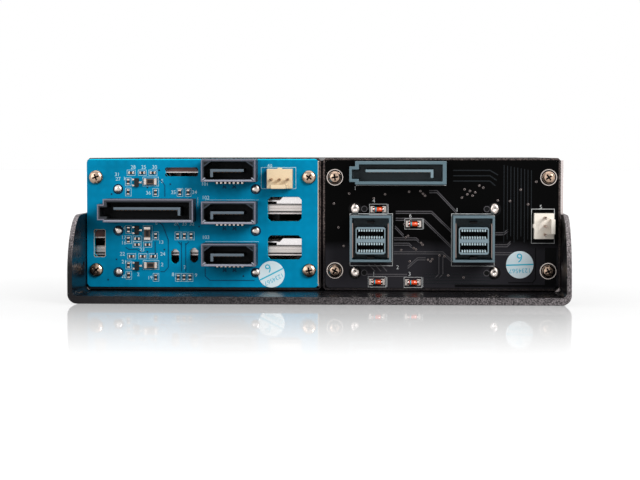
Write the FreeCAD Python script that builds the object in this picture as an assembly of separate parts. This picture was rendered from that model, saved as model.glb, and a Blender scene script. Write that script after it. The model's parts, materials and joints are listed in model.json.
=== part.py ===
"""Hot swap drive cage for one half-height 5.25-inch bay.

Two sheet-steel cases stand side by side in a U-shaped outer tray. One takes slim SATA drives, the
other thicker U.2 drives. Each bay has a tray that slides out of the front, with a lever and a latch
button. A backplane board closes the rear of each case, and the outer tray runs on behind the boards
to guard the sockets.

Millimetres. X is across, +Y points to the rear, +Z up. The origin is at the middle of the underside.
"""
import FreeCAD, Part
import math
import os

# ---------------------------------------------------------------- envelope
overall_width = 146.0
overall_length = 150.0
overall_height = 42.3

# ---------------------------------------------------------------- outer tray
tray_wall = 1.4
tray_floor = 2.2
tray_side_height = 25.5
tray_corner_radius = 2.8
rear_reach = 24.0            # from the boards' rear face to the tray's rear edge
rear_straight = 8.0          # how far behind the boards the sides keep their full height
rim_height = 8.0             # height of the tray's sides at the rear edge
side_gap = 0.1               # tray side to case
floor_gap = 0.3              # tray floor to case
bay_hole_radius = 1.25       # M3 tapped holes for the 5.25-inch bay
bay_hole_setback = 47.4      # behind the back of the front frame
bay_hole_spacing = 79.25
bay_hole_height = 10.0
bay_screw_room = 2.0         # clear space round the screws inside the case
lug_length = 6.0             # lugs of the cases that snap into the tray's sides
lug_height = 2.0
lug_fit = 0.1
lug_recess = 0.4             # lug's end to the outer face
lug_low = 5.5                # height of the tray's lugs above the case's underside
lug_high = 18.5              # height of the collar's lugs above it
lug_front = 14.0             # from the tray's front edge to its first lugs
lug_spacing = 64.0

# ---------------------------------------------------------------- front frame
frame_depth = 4.0
collar_length = 12.0
collar_height = 36.0
collar_gap = 0.2
frame_bevel = 0.8

# ---------------------------------------------------------------- cases
module_gap = 0.6
case_sheet = 0.6
case_bevel = 0.8
tab_reach = 7.0
tab_height = 8.0
rest_tab_low = 15.3          # the SATA board also rests on a tab at its outer side, and on
rest_tab_height = 7.4        # a flange that hangs from the top
rest_tab_clearance = 1.2     # from the drive socket
rest_flange_width = 16.0
rest_flange_drop = 4.4       # its lower edge below the cage's top
vent_length = 15.0
vent_width = 3.2
vent_pitch = 7.8
vent_row_pitch = 24.0
vent_rows = 2

# ---------------------------------------------------------------- bays and dividers
sata_bays = 3
sata_pitch = 12.6
nvme_bays = 2
nvme_pitch = 19.1
divider_sheet = 0.6
divider_setback = 2.0        # behind the bezels
divider_rear_gap = 1.8       # hem to board
divider_fit = 0.05
hem_height = 3.0
hem_depth = 2.4
hem_bevel = 0.5
divider_tab_length = 8.0
divider_tab_spacing = 38.0
divider_tab_count = 3        # on each side
window_width = 46.0          # windows through the dividers and the sleds above them
window_length = 36.0
window_pitch = 44.0
window_count = 2
window_corner = 3.0

# ---------------------------------------------------------------- drives, which the trays carry
drive_standoff = 5.4         # drive's rear face to board
drive_screw_spacing_x = 61.72
drive_screw_spacing_y = 76.6
drive_screw_from_rear = 14.0
drive_screw_hole_radius = 1.75
connector_height = 3.5       # plug's centre above the drive's underside
connector_offset = 5.0       # plug's centre from the middle of the bay

# ---------------------------------------------------------------- drive trays
sled_sheet = 1.0
sled_side_gap = 0.15
sled_gap = 0.1               # sled to bay floor
lip_gap = 0.8                # drive's rear face to the sled's lip
lip_height = 2.0
lip_slant = 1.9              # how far the lip's slanted end leans
lip_recess = 3.3            # width of the recess in the sled's rear edge beside the lip
lip_clear = 2.2              # socket's end to the recess
corner_cut = 5.0             # depth of the recess and of the cut-back rear corner
bezel_depth = 9.0
bezel_gap = 0.4              # one bezel to the next
bezel_wall = 1.2
bezel_bevel = 0.6
bezel_window_margin = 2.4
hook_width = 4.0
hook_height = 1.2
hook_reach = 0.6             # how far a bezel's hooks show behind the sled's flange
hook_fit = 0.1
hook_inset = 12.0            # from the end of the bezel
hook_lift = 2.0              # above the bezel's lower edge
lever_thickness = 3.2
lever_gap = 0.3
pivot_inset = 4.3            # pin's centre from the end of the bezel
pivot_depth = 2.4            # pin's centre behind the front
barrel_radius = 2.2
pin_radius = 1.0
pin_fit = 0.05
groove_count = 3
groove_pitch = 1.6
groove_depth = 0.5
louvre_width = 2.6
louvre_pitch = 5.2
louvre_slant = 3.0           # sideways lean through the lever, so nothing shows straight through
louvre_margin = 1.7
button_width = 6.6
button_height = 7.0
button_thickness = 3.6
button_inset = 0.3           # behind the bezel's front
button_gap = 0.3
button_travel = 1.5
button_wall = 1.2
stem_size = 3.0
stem_fit = 0.1

# ---------------------------------------------------------------- boards
board_thickness = 1.6
board_edge_gap = 0.15
board_corner_radius = 1.3
sata_board_inset = 0.15      # from the case's outer face, which this board covers
sata_board_drop = 0.3        # from the case's top, which it covers too
screw_inset = 2.85           # from the board's side edges
screw_lift = 5.9             # lower screws above the case's underside
screw_drop = 5.8             # upper screws below the cage's top
screw_radius = 1.2
screw_head_radius = 2.1
screw_head_height = 1.5
screw_fit = 0.05
screw_bite = 0.8             # how far a screw shows in front of its tab

# ---------------------------------------------------------------- sockets on the rear of the boards
power_width = 27.1
power_height = 6.95
power_rise = 8.4
power_end_wall = 1.2
power_side_wall = 1.0
power_wing_reach = 1.7
power_wing_height = 4.7
power_wing_drop = 0.4
power_wing_wall = 0.8
power_base = 1.4
power_tongue_length = 20.2
power_tongue_shift = 0.4
power_tongue_rise = 0.6
tongue_thickness = 0.9
tongue_setback = 0.8
power_key_drop = 1.7
data_width = 16.3
data_height = 6.75
data_rise = 8.4
data_wall = 0.8
data_upper_corner = (2.2, 1.6)   # filled corners of the cavity, across and up
data_lower_corner = (0.8, 0.7)
data_tongue_length = 10.1
data_tongue_shift = 0.45
data_key_drop = 1.6
sas_width = 12.3
sas_height = 13.7
sas_rise = 10.5
sas_wall = 0.7
sas_base = 2.0
sas_block_width = 8.9
sas_block_height = 8.1
sas_block_setback = 0.9
sas_block_drop = 0.55
sas_block_bevel = 0.5
sas_slot_width = 8.1
sas_slot_height = 2.65
sas_slot_depth = 6.0
sas_slot_spacing = 4.0
sas_slot_count = 2
header_width = 7.65
header_depth = 5.9
header_rise = 3.4
header_lock_width = 4.4      # the tall tab that the fan's plug snaps to
header_lock_wall = 1.2
header_lock_rise = 8.6
header_rib_width = 1.2       # small rib opposite the tab
header_rib_depth = 0.3
header_pin_count = 3
header_pin_pitch = 2.5
header_pin_size = 0.6
header_pin_rise = 8.0
header_pin_shift = 0.25      # towards the tab

# ---------------------------------------------------------------- sockets for the drives
drive_socket_width = 42.7
drive_socket_rise = 8.0
sata_socket_height = 5.0
u2_socket_height = 6.1
socket_slot_height = 2.4
socket_slot_depth = 6.2
socket_bevel = 0.5
socket_end_wall = 3.2
signal_slot_width = 11.0
power_slot_width = 21.3
peg_spacing = 41.8
peg_head_radius = 1.3
peg_head_height = 0.8
peg_head_length = 3.2        # of the long heads on the NVMe board
peg_head_shift = 0.15        # how far the long heads sit above their pegs

# ---------------------------------------------------------------- small parts
chip_length = 1.6
chip_width = 0.85
chip_rise = 0.5
capacitor_length = 3.9
capacitor_width = 1.9
capacitor_rise = 1.1
transistor_length = 2.7
transistor_width = 1.4
transistor_rise = 1.0
diode_length = 3.4
diode_radius = 0.75

# ---------------------------------------------------------------- places on the SATA board
# X from the middle of the bays, Z from the underside of the case, drops from the top of the cage
sata_power_x = 15.7
sata_power_z = 24.1
sata_data_x = -8.4
sata_data_z = 10.9
sata_header_inset = 11.7     # from the inner face of the case's inner side
sata_header_drop = 6.2
window_bevel = 0.9
air_window_edge_gap = 5.1    # from the board's inner edge
air_window_socket_gap = 2.9  # from the data sockets
air_window_height = 7.4
air_window_z = 12.8
air_window_pitch = 11.6
top_slot_x = 6.6
top_slot_width = 10.0
top_slot_height = 2.7
top_slot_drop = 4.2
side_slot_inset = 4.0        # from the case's outer side
side_slot_z = 14.0
side_slot_width = 3.4
side_slot_height = 8.3
short_slot_x = (8.7, 2.9)
short_slot_z = (10.0, 10.35)
short_slot_width = 2.6
short_slot_height = 4.5
channel_z = (32.6, 18.15, 7.35)
column_x = 22.8
column_drop = 3.1
transistor_x = 20.2
transistor_drop = 0.2
upright_z = (29.4, 16.25, 3.65)
upright_x = ((14.5, 7.1, 4.6), (14.5, 7.8, 5.8, 3.7), (14.5, 7.7, 5.9, 4.1))
level_row_x = (21.9, 18.5, 15.3)
level_row_z = (35.35, 10.05)
level_pair_x = (20.2, 20.2, 17.0)
level_pair_z = (15.4, 13.6, 13.6)
level_capacitor_x = 16.0
level_capacitor_z = (32.7, 7.4)
upright_capacitor_x = 17.0
upright_capacitor_z = 17.0

# ---------------------------------------------------------------- places on the NVMe board
nvme_power_x = 12.15
nvme_power_drop = 4.4
mini_sas_x = (21.05, -9.45)
mini_sas_z = 15.9
nvme_header_inset = 5.1      # from the case's outer side
nvme_header_z = 19.5
diode_x = (18.95, 8.35, 19.3, 8.5)
diode_z = (24.4, 20.0, 2.5, 2.4)

# ---------------------------------------------------------------- worked out from the above
front_y = -overall_length / 2
rear_y = overall_length / 2
board_rear_y = rear_y - rear_reach
board_front_y = board_rear_y - board_thickness
frame_back_y = front_y + frame_depth
collar_back_y = frame_back_y + collar_length
tray_front_y = collar_back_y + collar_gap
bezel_back_y = front_y + bezel_depth
pivot_y = front_y + pivot_depth
module_width = (overall_width - 2 * (tray_wall + side_gap) - module_gap) / 2
inner_width = module_width - 2 * case_sheet
case_bottom = tray_floor + floor_gap
bay_floor = case_bottom + case_sheet
case_ceiling = overall_height - case_sheet
sled_width = inner_width - 2 * sled_side_gap
drive_rear_y = board_front_y - drive_standoff
sled_rear_y = drive_rear_y + lip_gap + sled_sheet
button_zone = 2 * button_wall + button_width + 2 * button_gap


class Module:
    """One half of the cage: where its middle is, which way its outer side faces, and its bays."""

    def __init__(self, name, outward, bays, pitch, socket_height):
        self.name = name
        self.outward = outward
        self.bays = bays
        self.pitch = pitch
        self.socket_height = socket_height
        self.middle = outward * (module_width + module_gap) / 2

    def side(self, direction, inset=0.0):
        """X of the case's side wall towards +X or -X, this far in from its outer face."""
        return self.middle + direction * (module_width / 2 - inset)

    def floor(self, bay):
        return bay_floor + self.pitch * bay

    def sled_bottom(self, bay):
        return self.floor(bay) + sled_gap

    def bezel_height(self):
        return self.pitch - bezel_gap

    def plug_height(self, bay):
        return self.sled_bottom(bay) + sled_sheet + connector_height


sata = Module("sata", 1, sata_bays, sata_pitch, sata_socket_height)
nvme = Module("nvme", -1, nvme_bays, nvme_pitch, u2_socket_height)
modules = (sata, nvme)


# ================================================================ geometry helpers
def at(axis, level, u, v):
    """A point at this level along one axis, with u and v along the other two in X, Y, Z order."""
    if axis == "X":
        return FreeCAD.Vector(level, u, v)
    if axis == "Y":
        return FreeCAD.Vector(u, level, v)
    return FreeCAD.Vector(u, v, level)


def box(x, y, z):
    """Block between three pairs of limits."""
    size = [abs(high - low) for low, high in (x, y, z)]
    return Part.makeBox(*size, FreeCAD.Vector(min(x), min(y), min(z)))


def rod(axis, span, u, v, radius):
    """Cylinder along an axis."""
    start, end = span
    return Part.makeCylinder(radius, end - start, at(axis, start, u, v), at(axis, 1, 0, 0))


def prism(axis, span, outline):
    """Straight-sided prism along an axis from a list of (u, v) corners."""
    start, end = span
    corners = [at(axis, start, u, v) for u, v in outline]
    face = Part.Face(Part.makePolygon(corners + corners[:1]))
    return face.extrude(at(axis, end - start, 0, 0))


def octagon(axis, span, u, v, radius):
    """Eight-sided bar along an axis, as wide across its flats as a rod of this radius."""
    reach = radius / math.cos(math.pi / 8)
    turns = [math.pi / 8 + math.pi / 4 * step for step in range(8)]
    return prism(axis, span, [(u + reach * math.cos(t), v + reach * math.sin(t)) for t in turns])


def bevelled(axis, span, u_limits, v_limits, bevel):
    """Prism along an axis whose section is a rectangle with its corners cut off."""
    (left, right), (low, high) = u_limits, v_limits
    outline = [
        (left + bevel, low),
        (right - bevel, low),
        (right, low + bevel),
        (right, high - bevel),
        (right - bevel, high),
        (left + bevel, high),
        (left, high - bevel),
        (left, low + bevel),
    ]
    return prism(axis, span, outline)


def rounded(axis, span, u_limits, v_limits, radius):
    """Prism along an axis whose section is a rectangle with round corners."""
    start, end = span
    centres = [
        (u_limits[1] - radius, v_limits[1] - radius),
        (u_limits[0] + radius, v_limits[1] - radius),
        (u_limits[0] + radius, v_limits[0] + radius),
        (u_limits[1] - radius, v_limits[0] + radius),
    ]
    arcs = []
    for quarter, (u, v) in enumerate(centres):
        turns = [math.radians(90 * quarter + turn) for turn in (0, 45, 90)]
        arcs.append([at(axis, start, u + radius * math.cos(t), v + radius * math.sin(t)) for t in turns])
    edges = []
    for arc, following in zip(arcs, arcs[1:] + arcs[:1]):
        edges.append(Part.Arc(*arc).toShape())
        if arc[2].distanceToPoint(following[0]) > 1e-6:
            edges.append(Part.makeLine(arc[2], following[0]))
    face = Part.Face(Part.Wire(edges))
    return face.extrude(at(axis, end - start, 0, 0))


def union(shapes):
    return shapes[0].multiFuse(shapes[1:]).removeSplitter() if len(shapes) > 1 else shapes[0]


def cut(shape, tools):
    return shape.cut(Part.makeCompound(tools)) if tools else shape


def around(middle, size):
    """Limits of a stretch of this size about a middle."""
    return (middle - size / 2, middle + size / 2)


def spread(middle, pitch, count):
    """Evenly spaced places about a middle."""
    return [middle + pitch * (step - (count - 1) / 2) for step in range(count)]


def export(name, shape):
    if shape.ShapeType == "Compound" and len(shape.Solids) == 1:
        shape = shape.Solids[0]
    shape.exportStep("parts/" + name + ".step")


# ================================================================ outer tray and front frame
def u_section(span, height):
    """U-shaped channel with round lower corners, open at the top and at both ends."""
    outer = rounded("Y", span, around(0, overall_width), (0, height + tray_corner_radius), tray_corner_radius)
    channel = around(0, overall_width - 2 * tray_wall)
    inner_radius = tray_corner_radius - tray_wall
    inner_top = height + 2 * tray_corner_radius
    inner = rounded("Y", span, channel, (tray_floor, inner_top), inner_radius)
    above = box(around(0, 2 * overall_width), span, (height, inner_top + tray_floor))
    return outer.cut(inner).cut(above)


def rear_sweep():
    """Side view of the tray: full height past the boards, then down a quarter ellipse to the rim."""
    shoulder_y = board_rear_y + rear_straight
    ends = [
        FreeCAD.Vector(0, rear_y, rim_height),
        FreeCAD.Vector(0, shoulder_y, tray_side_height),
    ]
    centre = FreeCAD.Vector(0, shoulder_y, rim_height)
    ends.sort(key=lambda end: -end.distanceToPoint(centre))
    ellipse = Part.Ellipse(ends[0], ends[1], centre)
    disc = Part.Face(Part.Wire([ellipse.toShape()]))
    disc.translate(FreeCAD.Vector(-overall_width, 0, 0))
    swept = disc.extrude(FreeCAD.Vector(2 * overall_width, 0, 0))
    width = around(0, 2 * overall_width)
    sides = box(width, (tray_front_y, shoulder_y), (0, tray_side_height))
    floor = box(width, (tray_front_y, rear_y), (0, rim_height))
    return union([sides, floor, swept])


def bay_holes(face):
    """Tapped holes of the 5.25-inch pattern through one side wall."""
    first = frame_back_y + bay_hole_setback
    span = around(face, 2 * tray_wall)
    return [rod("X", span, y, bay_hole_height, bay_hole_radius) for y in (first, first + bay_hole_spacing)]


def tray_lug_places():
    """Y and Z of the lugs that hold the tray on each side."""
    first = tray_front_y + lug_front
    height = case_bottom + lug_low
    return [(first, height), (first + lug_spacing, height)]


def collar_lug_place():
    return (frame_back_y + collar_length / 2, case_bottom + lug_high)


def lug_windows(places):
    """Rectangular holes for the lugs, right through both sides of a channel."""
    through = around(0, 2 * overall_width)
    length = lug_length + 2 * lug_fit
    height = lug_height + 2 * lug_fit
    return [box(through, around(y, length), around(z, height)) for y, z in places]


def outer_tray():
    shape = u_section((tray_front_y, rear_y), tray_side_height).common(rear_sweep())
    holes = lug_windows(tray_lug_places())
    for face in around(0, overall_width - tray_wall):
        holes += bay_holes(face)
    return cut(shape, holes)


def front_frame():
    """Moulded surround: a plate with a window for each half, and a collar round the cases' front."""
    span = (front_y, frame_back_y)
    lower = u_section(span, overall_height / 2)
    lower_fill = box(around(0, overall_width - 2 * tray_wall), span, (tray_floor, overall_height / 2))
    upper = bevelled("Y", span, around(0, overall_width), (tray_corner_radius, overall_height), frame_bevel)
    collar = u_section((frame_back_y, collar_back_y), collar_height)
    shape = union([lower, lower_fill, upper, collar])
    windows = []
    for module in modules:
        window = (bay_floor, module.floor(module.bays))
        windows.append(box(around(module.middle, inner_width), span, window))
    return cut(shape, windows + lug_windows([collar_lug_place()]))


# ================================================================ cases and dividers
def board_limits(module):
    """X and Z limits of a module's board."""
    inner_side = module.side(-module.outward, case_sheet + board_edge_gap)
    low = bay_floor + board_edge_gap
    if module is sata:
        outer_side = module.side(module.outward, sata_board_inset)
        high = overall_height - sata_board_drop
    else:
        outer_side = module.side(module.outward, case_sheet + board_edge_gap)
        high = case_ceiling - board_edge_gap
    return (min(inner_side, outer_side), max(inner_side, outer_side)), (low, high)


def board_screw_places(module):
    (left, right), _ = board_limits(module)
    heights = (case_bottom + screw_lift, overall_height - screw_drop)
    return [(x, z) for x in (left + screw_inset, right - screw_inset) for z in heights]


def divider_tab_places():
    """Y of the middles of a divider's side tabs."""
    front, rear = divider_span()
    return spread((front + rear) / 2, divider_tab_spacing, divider_tab_count)


def divider_span():
    """Y of a divider's front edge and of the back of its hem."""
    return bezel_back_y + divider_setback, board_front_y - divider_rear_gap


def divider_levels(module):
    """Upper faces of a module's dividers."""
    return [module.floor(bay) for bay in range(1, module.bays)]


def shelf_windows(module, sheet):
    """The two windows through a divider or a sled, which lie one above the other."""
    x_limits = around(module.middle, window_width)
    middle = (bezel_back_y + drive_rear_y) / 2
    return [
        bevelled("Z", sheet, x_limits, around(y, window_length), window_corner)
        for y in spread(middle, window_pitch, window_count)
    ]


def vent_slot(x, y):
    """Slot with pointed ends in the top of a case."""
    half_width = vent_width / 2
    half_length = vent_length / 2
    outline = [
        (x - half_width, y - half_length + half_width),
        (x, y - half_length),
        (x + half_width, y - half_length + half_width),
        (x + half_width, y + half_length - half_width),
        (x, y + half_length),
        (x - half_width, y + half_length - half_width),
    ]
    return prism("Z", (case_ceiling - case_sheet, overall_height + case_sheet), outline)


def case_tools(module):
    """Everything that is cut out of a module's case."""
    tools = []
    slot_length = divider_tab_length + 2 * divider_fit
    width = (module.side(-1) - case_sheet, module.side(1) + case_sheet)
    for level in divider_levels(module):
        height = (level - divider_sheet - divider_fit, level + divider_fit)
        for y in divider_tab_places():
            tools.append(box(width, around(y, slot_length), height))
    columns = int((inner_width - 2 * vent_pitch) // vent_pitch)
    for x in spread(module.middle, vent_pitch, columns):
        for y in spread(0, vent_row_pitch, vent_rows):
            tools.append(vent_slot(x, y))
    outer_wall = around(module.side(module.outward, case_sheet / 2), 2 * case_sheet)
    room = around(frame_back_y + bay_hole_setback, 2 * bay_screw_room)
    tools.append(box(outer_wall, room, around(bay_hole_height, 2 * bay_screw_room)))
    return tools


def socket_end(module, direction):
    """X of the end of a drive socket towards +X or -X."""
    return module.middle + connector_offset + direction * drive_socket_width / 2


def rest_tabs():
    """Side tab and hanging flange that the SATA board rests on."""
    span = (board_front_y - case_sheet, board_front_y)
    wall = sata.side(1, case_sheet)
    side = (socket_end(sata, 1) + rest_tab_clearance, wall)
    low = case_bottom + rest_tab_low
    hanging = around(sata.middle + top_slot_x, rest_flange_width)
    return [
        box(side, span, (low, low + rest_tab_height)),
        box(hanging, span, (overall_height - rest_flange_drop, case_ceiling)),
    ]


def board_tabs(module):
    """Tabs bent inwards from the sides of the case, which the board is screwed to."""
    tabs = []
    for x, z in board_screw_places(module):
        direction = 1 if x > module.middle else -1
        wall = module.side(direction, case_sheet)
        reach = (wall, wall - direction * tab_reach)
        span = (board_front_y - case_sheet, board_front_y)
        hole = octagon("Y", span, x, z, screw_radius + screw_fit)
        tabs.append(box(reach, span, around(z, tab_height)).cut(hole))
    return tabs


def case_lugs(module):
    """Lugs on the outer side that snap into the tray and the collar."""
    outer = module.side(module.outward)
    tip = module.outward * (overall_width / 2 - lug_recess)
    places = tray_lug_places() + [collar_lug_place()]
    return [box((outer, tip), around(y, lug_length), around(z, lug_height)) for y, z in places]


def case(module):
    span = (frame_back_y, board_rear_y)
    sides = (module.side(-1), module.side(1))
    outer = bevelled("Y", span, sides, (case_bottom, overall_height), case_bevel)
    inner = box((module.side(-1, case_sheet), module.side(1, case_sheet)), span, (bay_floor, case_ceiling))
    shape = union([outer.cut(inner)] + board_tabs(module) + case_lugs(module))
    if module is sata:
        shape = union([shape] + rest_tabs())
        inner_face = module.side(-module.outward, case_sheet)
        outer_face = module.side(module.outward) + module.outward * case_sheet
        above = overall_height + case_sheet
        beside = box((inner_face, outer_face), (board_front_y, rear_y), (bay_floor, above))
        shape = shape.cut(beside)
    return cut(shape, case_tools(module))


def divider(module, level):
    """Shelf between two bays, with side tabs in the case's slots and a folded rear hem."""
    front, rear = divider_span()
    sheet = (level - divider_sheet, level)
    half_plate = inner_width - 2 * divider_fit
    plate = box(around(module.middle, half_plate), (front, rear), sheet)
    plate = cut(plate, shelf_windows(module, sheet))
    tabs = []
    for y in divider_tab_places():
        for direction in (-1, 1):
            reach = (module.side(direction), module.side(direction, 2 * case_sheet))
            tabs.append(box(reach, around(y, divider_tab_length), sheet))
    span = around(module.middle, half_plate)
    hem = bevelled("X", span, (rear - hem_depth, rear), (level - hem_height, level), hem_bevel)
    return union([plate, hem] + tabs)


# ================================================================ drive trays
def bezel_limits(module, bay):
    """X and Z limits of a bezel."""
    bottom = module.sled_bottom(bay)
    return around(module.middle, sled_width), (bottom, bottom + module.bezel_height())


def pivot_x(module):
    return module.middle + sled_width / 2 - pivot_inset


def lever_limits(module, bay):
    """X of the lever's tip and Z limits of the lever."""
    x_limits, z_limits = bezel_limits(module, bay)
    margin = bezel_wall + lever_gap
    return x_limits[0] + button_zone + lever_gap, (z_limits[0] + margin, z_limits[1] - margin)


def button_place(module, bay):
    """X and Z of the middle of the latch button."""
    x_limits, z_limits = bezel_limits(module, bay)
    return x_limits[0] + button_zone / 2, sum(z_limits) / 2


def air_window(module):
    """X limits of the air window behind the lever."""
    low = module.middle - sled_width / 2 + button_zone + bezel_window_margin
    high = pivot_x(module) - barrel_radius - bezel_window_margin
    return low, high


def hook_places(module, bay):
    """X and Z of the hooks that hold a bezel on its sled."""
    x_limits, z_limits = bezel_limits(module, bay)
    height = z_limits[0] + hook_lift
    return [(x_limits[0] + hook_inset, height), (x_limits[1] - hook_inset, height)]


def bezel(module, bay):
    """Moulded front of a tray, with a pocket for the lever, a well for the button and an air window."""
    x_limits, z_limits = bezel_limits(module, bay)
    body = bevelled("Y", (front_y, bezel_back_y), x_limits, z_limits, bezel_bevel)
    inside = (z_limits[0] + bezel_wall, z_limits[1] - bezel_wall)
    pocket_start = x_limits[0] + button_zone
    pocket_end = x_limits[1] - (pivot_inset - pivot_depth - lever_gap)
    pocket_back = front_y + lever_thickness + 2 * lever_gap
    barrel_back = pivot_y + barrel_radius + lever_gap
    barrel_start = pivot_x(module) - barrel_radius - 2 * lever_gap
    button_x, button_z = button_place(module, bay)
    well_width = around(button_x, button_width + 2 * button_gap)
    well_height = around(button_z, button_height + 2 * button_gap)
    well_back = front_y + button_inset + button_thickness + button_travel + button_gap
    stem_hole = stem_size + 2 * stem_fit
    window_height = (inside[0] + bezel_wall, inside[1] - bezel_wall)
    tools = [
        box((pocket_start, pocket_end), (front_y, pocket_back), inside),
        box((barrel_start, pocket_end), (front_y, barrel_back), inside),
        box(well_width, (front_y, well_back), well_height),
        box(around(button_x, stem_hole), (well_back, bezel_back_y), around(button_z, stem_hole)),
        box(air_window(module), (pocket_back, bezel_back_y), window_height),
    ]
    hooks = [
        box(
            around(x, hook_width),
            (bezel_back_y, bezel_back_y + sled_sheet + hook_reach),
            around(z, hook_height),
        )
        for x, z in hook_places(module, bay)
    ]
    return union([cut(body, tools)] + hooks)


def louvre(x, z_limits):
    """Slot through the lever that leans sideways on its way through."""
    half = louvre_width / 2
    lean = louvre_slant / 2
    back = front_y + lever_thickness
    outline = [
        (x - half - lean, front_y),
        (x + half - lean, front_y),
        (x + half + lean, back),
        (x - half + lean, back),
    ]
    return prism("Z", z_limits, outline)


def lever(module, bay):
    """Lever that lies in the bezel's pocket and turns out about its pin."""
    tip, z_limits = lever_limits(module, bay)
    pivot = pivot_x(module)
    plate = box((tip, pivot), (front_y, front_y + lever_thickness), z_limits)
    barrel = rod("Z", z_limits, pivot, pivot_y, barrel_radius)
    shape = union([plate, barrel])
    tools = [rod("Z", z_limits, pivot, pivot_y, pin_radius + pin_fit)]
    for step in range(groove_count):
        x = tip + groove_pitch * (step + 1)
        outline = [
            (x - groove_depth, front_y),
            (x + groove_depth, front_y),
            (x, front_y + groove_depth),
        ]
        tools.append(prism("Z", z_limits, outline))
    reach = (louvre_width + louvre_slant) / 2
    low = tip + groove_pitch * (groove_count + 1) + reach
    high = pivot - barrel_radius - louvre_margin - reach
    count = int((high - low) // louvre_pitch) + 1
    for x in spread((low + high) / 2, louvre_pitch, count):
        tools.append(louvre(x, (z_limits[0] + louvre_margin, z_limits[1] - louvre_margin)))
    return cut(shape, tools)


def hinge_pin(module, bay):
    """Pin trapped between the upper and lower walls of the bezel."""
    _, z_limits = bezel_limits(module, bay)
    span = (z_limits[0] + bezel_wall, z_limits[1] - bezel_wall)
    return rod("Z", span, pivot_x(module), pivot_y, pin_radius)


def latch_button(module, bay):
    """Push button with a square stem that runs in the back of the bezel."""
    x, z = button_place(module, bay)
    front = front_y + button_inset
    span = (front, front + button_thickness)
    pad = bevelled("Y", span, around(x, button_width), around(z, button_height), bezel_bevel)
    stem = box(around(x, stem_size), (span[1], bezel_back_y - button_gap), around(z, stem_size))
    return union([pad, stem])


def recess_ends(module):
    """Ends of the recess in the sled's rear edge, beside the drive's socket."""
    end = socket_end(module, -1) - lip_clear
    return end - lip_recess, end


def rear_lip(module, bay):
    """Upturned rear edge of the sled between its side and the recess, with a slanted end."""
    bottom = module.sled_bottom(bay)
    sled_side = module.middle - sled_width / 2
    foot, _ = recess_ends(module)
    outline = [
        (sled_side, bottom),
        (foot, bottom),
        (foot - lip_slant, bottom + lip_height),
        (sled_side, bottom + lip_height),
    ]
    return prism("Y", (sled_rear_y - sled_sheet, sled_rear_y), outline)


def drive_screw_places(module):
    rear = drive_rear_y - drive_screw_from_rear
    return [
        (x, y)
        for x in around(module.middle, drive_screw_spacing_x)
        for y in (rear - drive_screw_spacing_y, rear)
    ]


def sled(module, bay):
    """Sheet-metal floor of a tray, with a front flange behind the bezel and a rear lip."""
    bottom = module.sled_bottom(bay)
    width = around(module.middle, sled_width)
    floor = box(width, (bezel_back_y, sled_rear_y), (bottom, bottom + sled_sheet))
    flange_top = bottom + module.bezel_height() - bezel_wall
    flange = box(width, (bezel_back_y, bezel_back_y + sled_sheet), (bottom, flange_top))
    shape = union([floor, flange, rear_lip(module, bay)])
    through = (bottom, bottom + sled_sheet)
    flange_depth = (bezel_back_y, bezel_back_y + sled_sheet)
    tools = shelf_windows(module, through)
    corner = (socket_end(module, 1) + lip_clear, width[1])
    for span in (recess_ends(module), corner):
        tools.append(box(span, (sled_rear_y - corner_cut, sled_rear_y), through))
    for x, y in drive_screw_places(module):
        tools.append(octagon("Z", through, x, y, drive_screw_hole_radius))
    air_height = (bottom + 2 * bezel_wall + hook_height, flange_top - bezel_wall)
    tools.append(box(air_window(module), flange_depth, air_height))
    button_x, button_z = button_place(module, bay)
    stem_room = stem_size + 2 * button_gap
    tools.append(box(around(button_x, stem_room), flange_depth, around(button_z, stem_room)))
    for x, z in hook_places(module, bay):
        width_here = around(x, hook_width + 2 * hook_fit)
        tools.append(box(width_here, flange_depth, around(z, hook_height + 2 * hook_fit)))
    return cut(shape, tools)


# ================================================================ boards
def board(module, windows):
    """Backplane board with holes for its screws, and the given windows."""
    x_limits, z_limits = board_limits(module)
    span = (board_front_y, board_rear_y)
    shape = rounded("Y", span, x_limits, z_limits, board_corner_radius)
    tools = [octagon("Y", span, x, z, screw_radius + screw_fit) for x, z in board_screw_places(module)]
    for x_window, z_window in windows:
        tools.append(bevelled("Y", span, x_window, z_window, window_bevel))
    return cut(shape, tools)


def sata_windows():
    """Openings of the SATA board: two air windows, a top slot, a side slot and two short ones."""
    middle = sata.middle
    (inner_edge, _), _ = board_limits(sata)
    socket_side = middle + sata_data_x - data_width / 2
    across = (inner_edge + air_window_edge_gap, socket_side - air_window_socket_gap)
    windows = []
    for step in (0, 1):
        height = case_bottom + air_window_z + step * air_window_pitch
        windows.append((across, around(height, air_window_height)))
    top_z = overall_height - top_slot_drop
    top = (around(middle + top_slot_x, top_slot_width), around(top_z, top_slot_height))
    side_x = sata.side(1, side_slot_inset)
    side = (around(side_x, side_slot_width), around(case_bottom + side_slot_z, side_slot_height))
    short = [
        (around(middle + x, short_slot_width), around(case_bottom + z, short_slot_height))
        for x, z in zip(short_slot_x, short_slot_z)
    ]
    return windows + [top, side] + short


def board_screws():
    """Pan-head screws of both boards, each through its board into a tab of the case."""
    screws = []
    for module in modules:
        for x, z in board_screw_places(module):
            tip = board_front_y - case_sheet - screw_bite
            shank = octagon("Y", (tip, board_rear_y), x, z, screw_radius)
            head = rod("Y", (board_rear_y, board_rear_y + screw_head_height), x, z, screw_head_radius)
            screws.append(union([shank, head]))
    return Part.makeCompound(screws)


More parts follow.
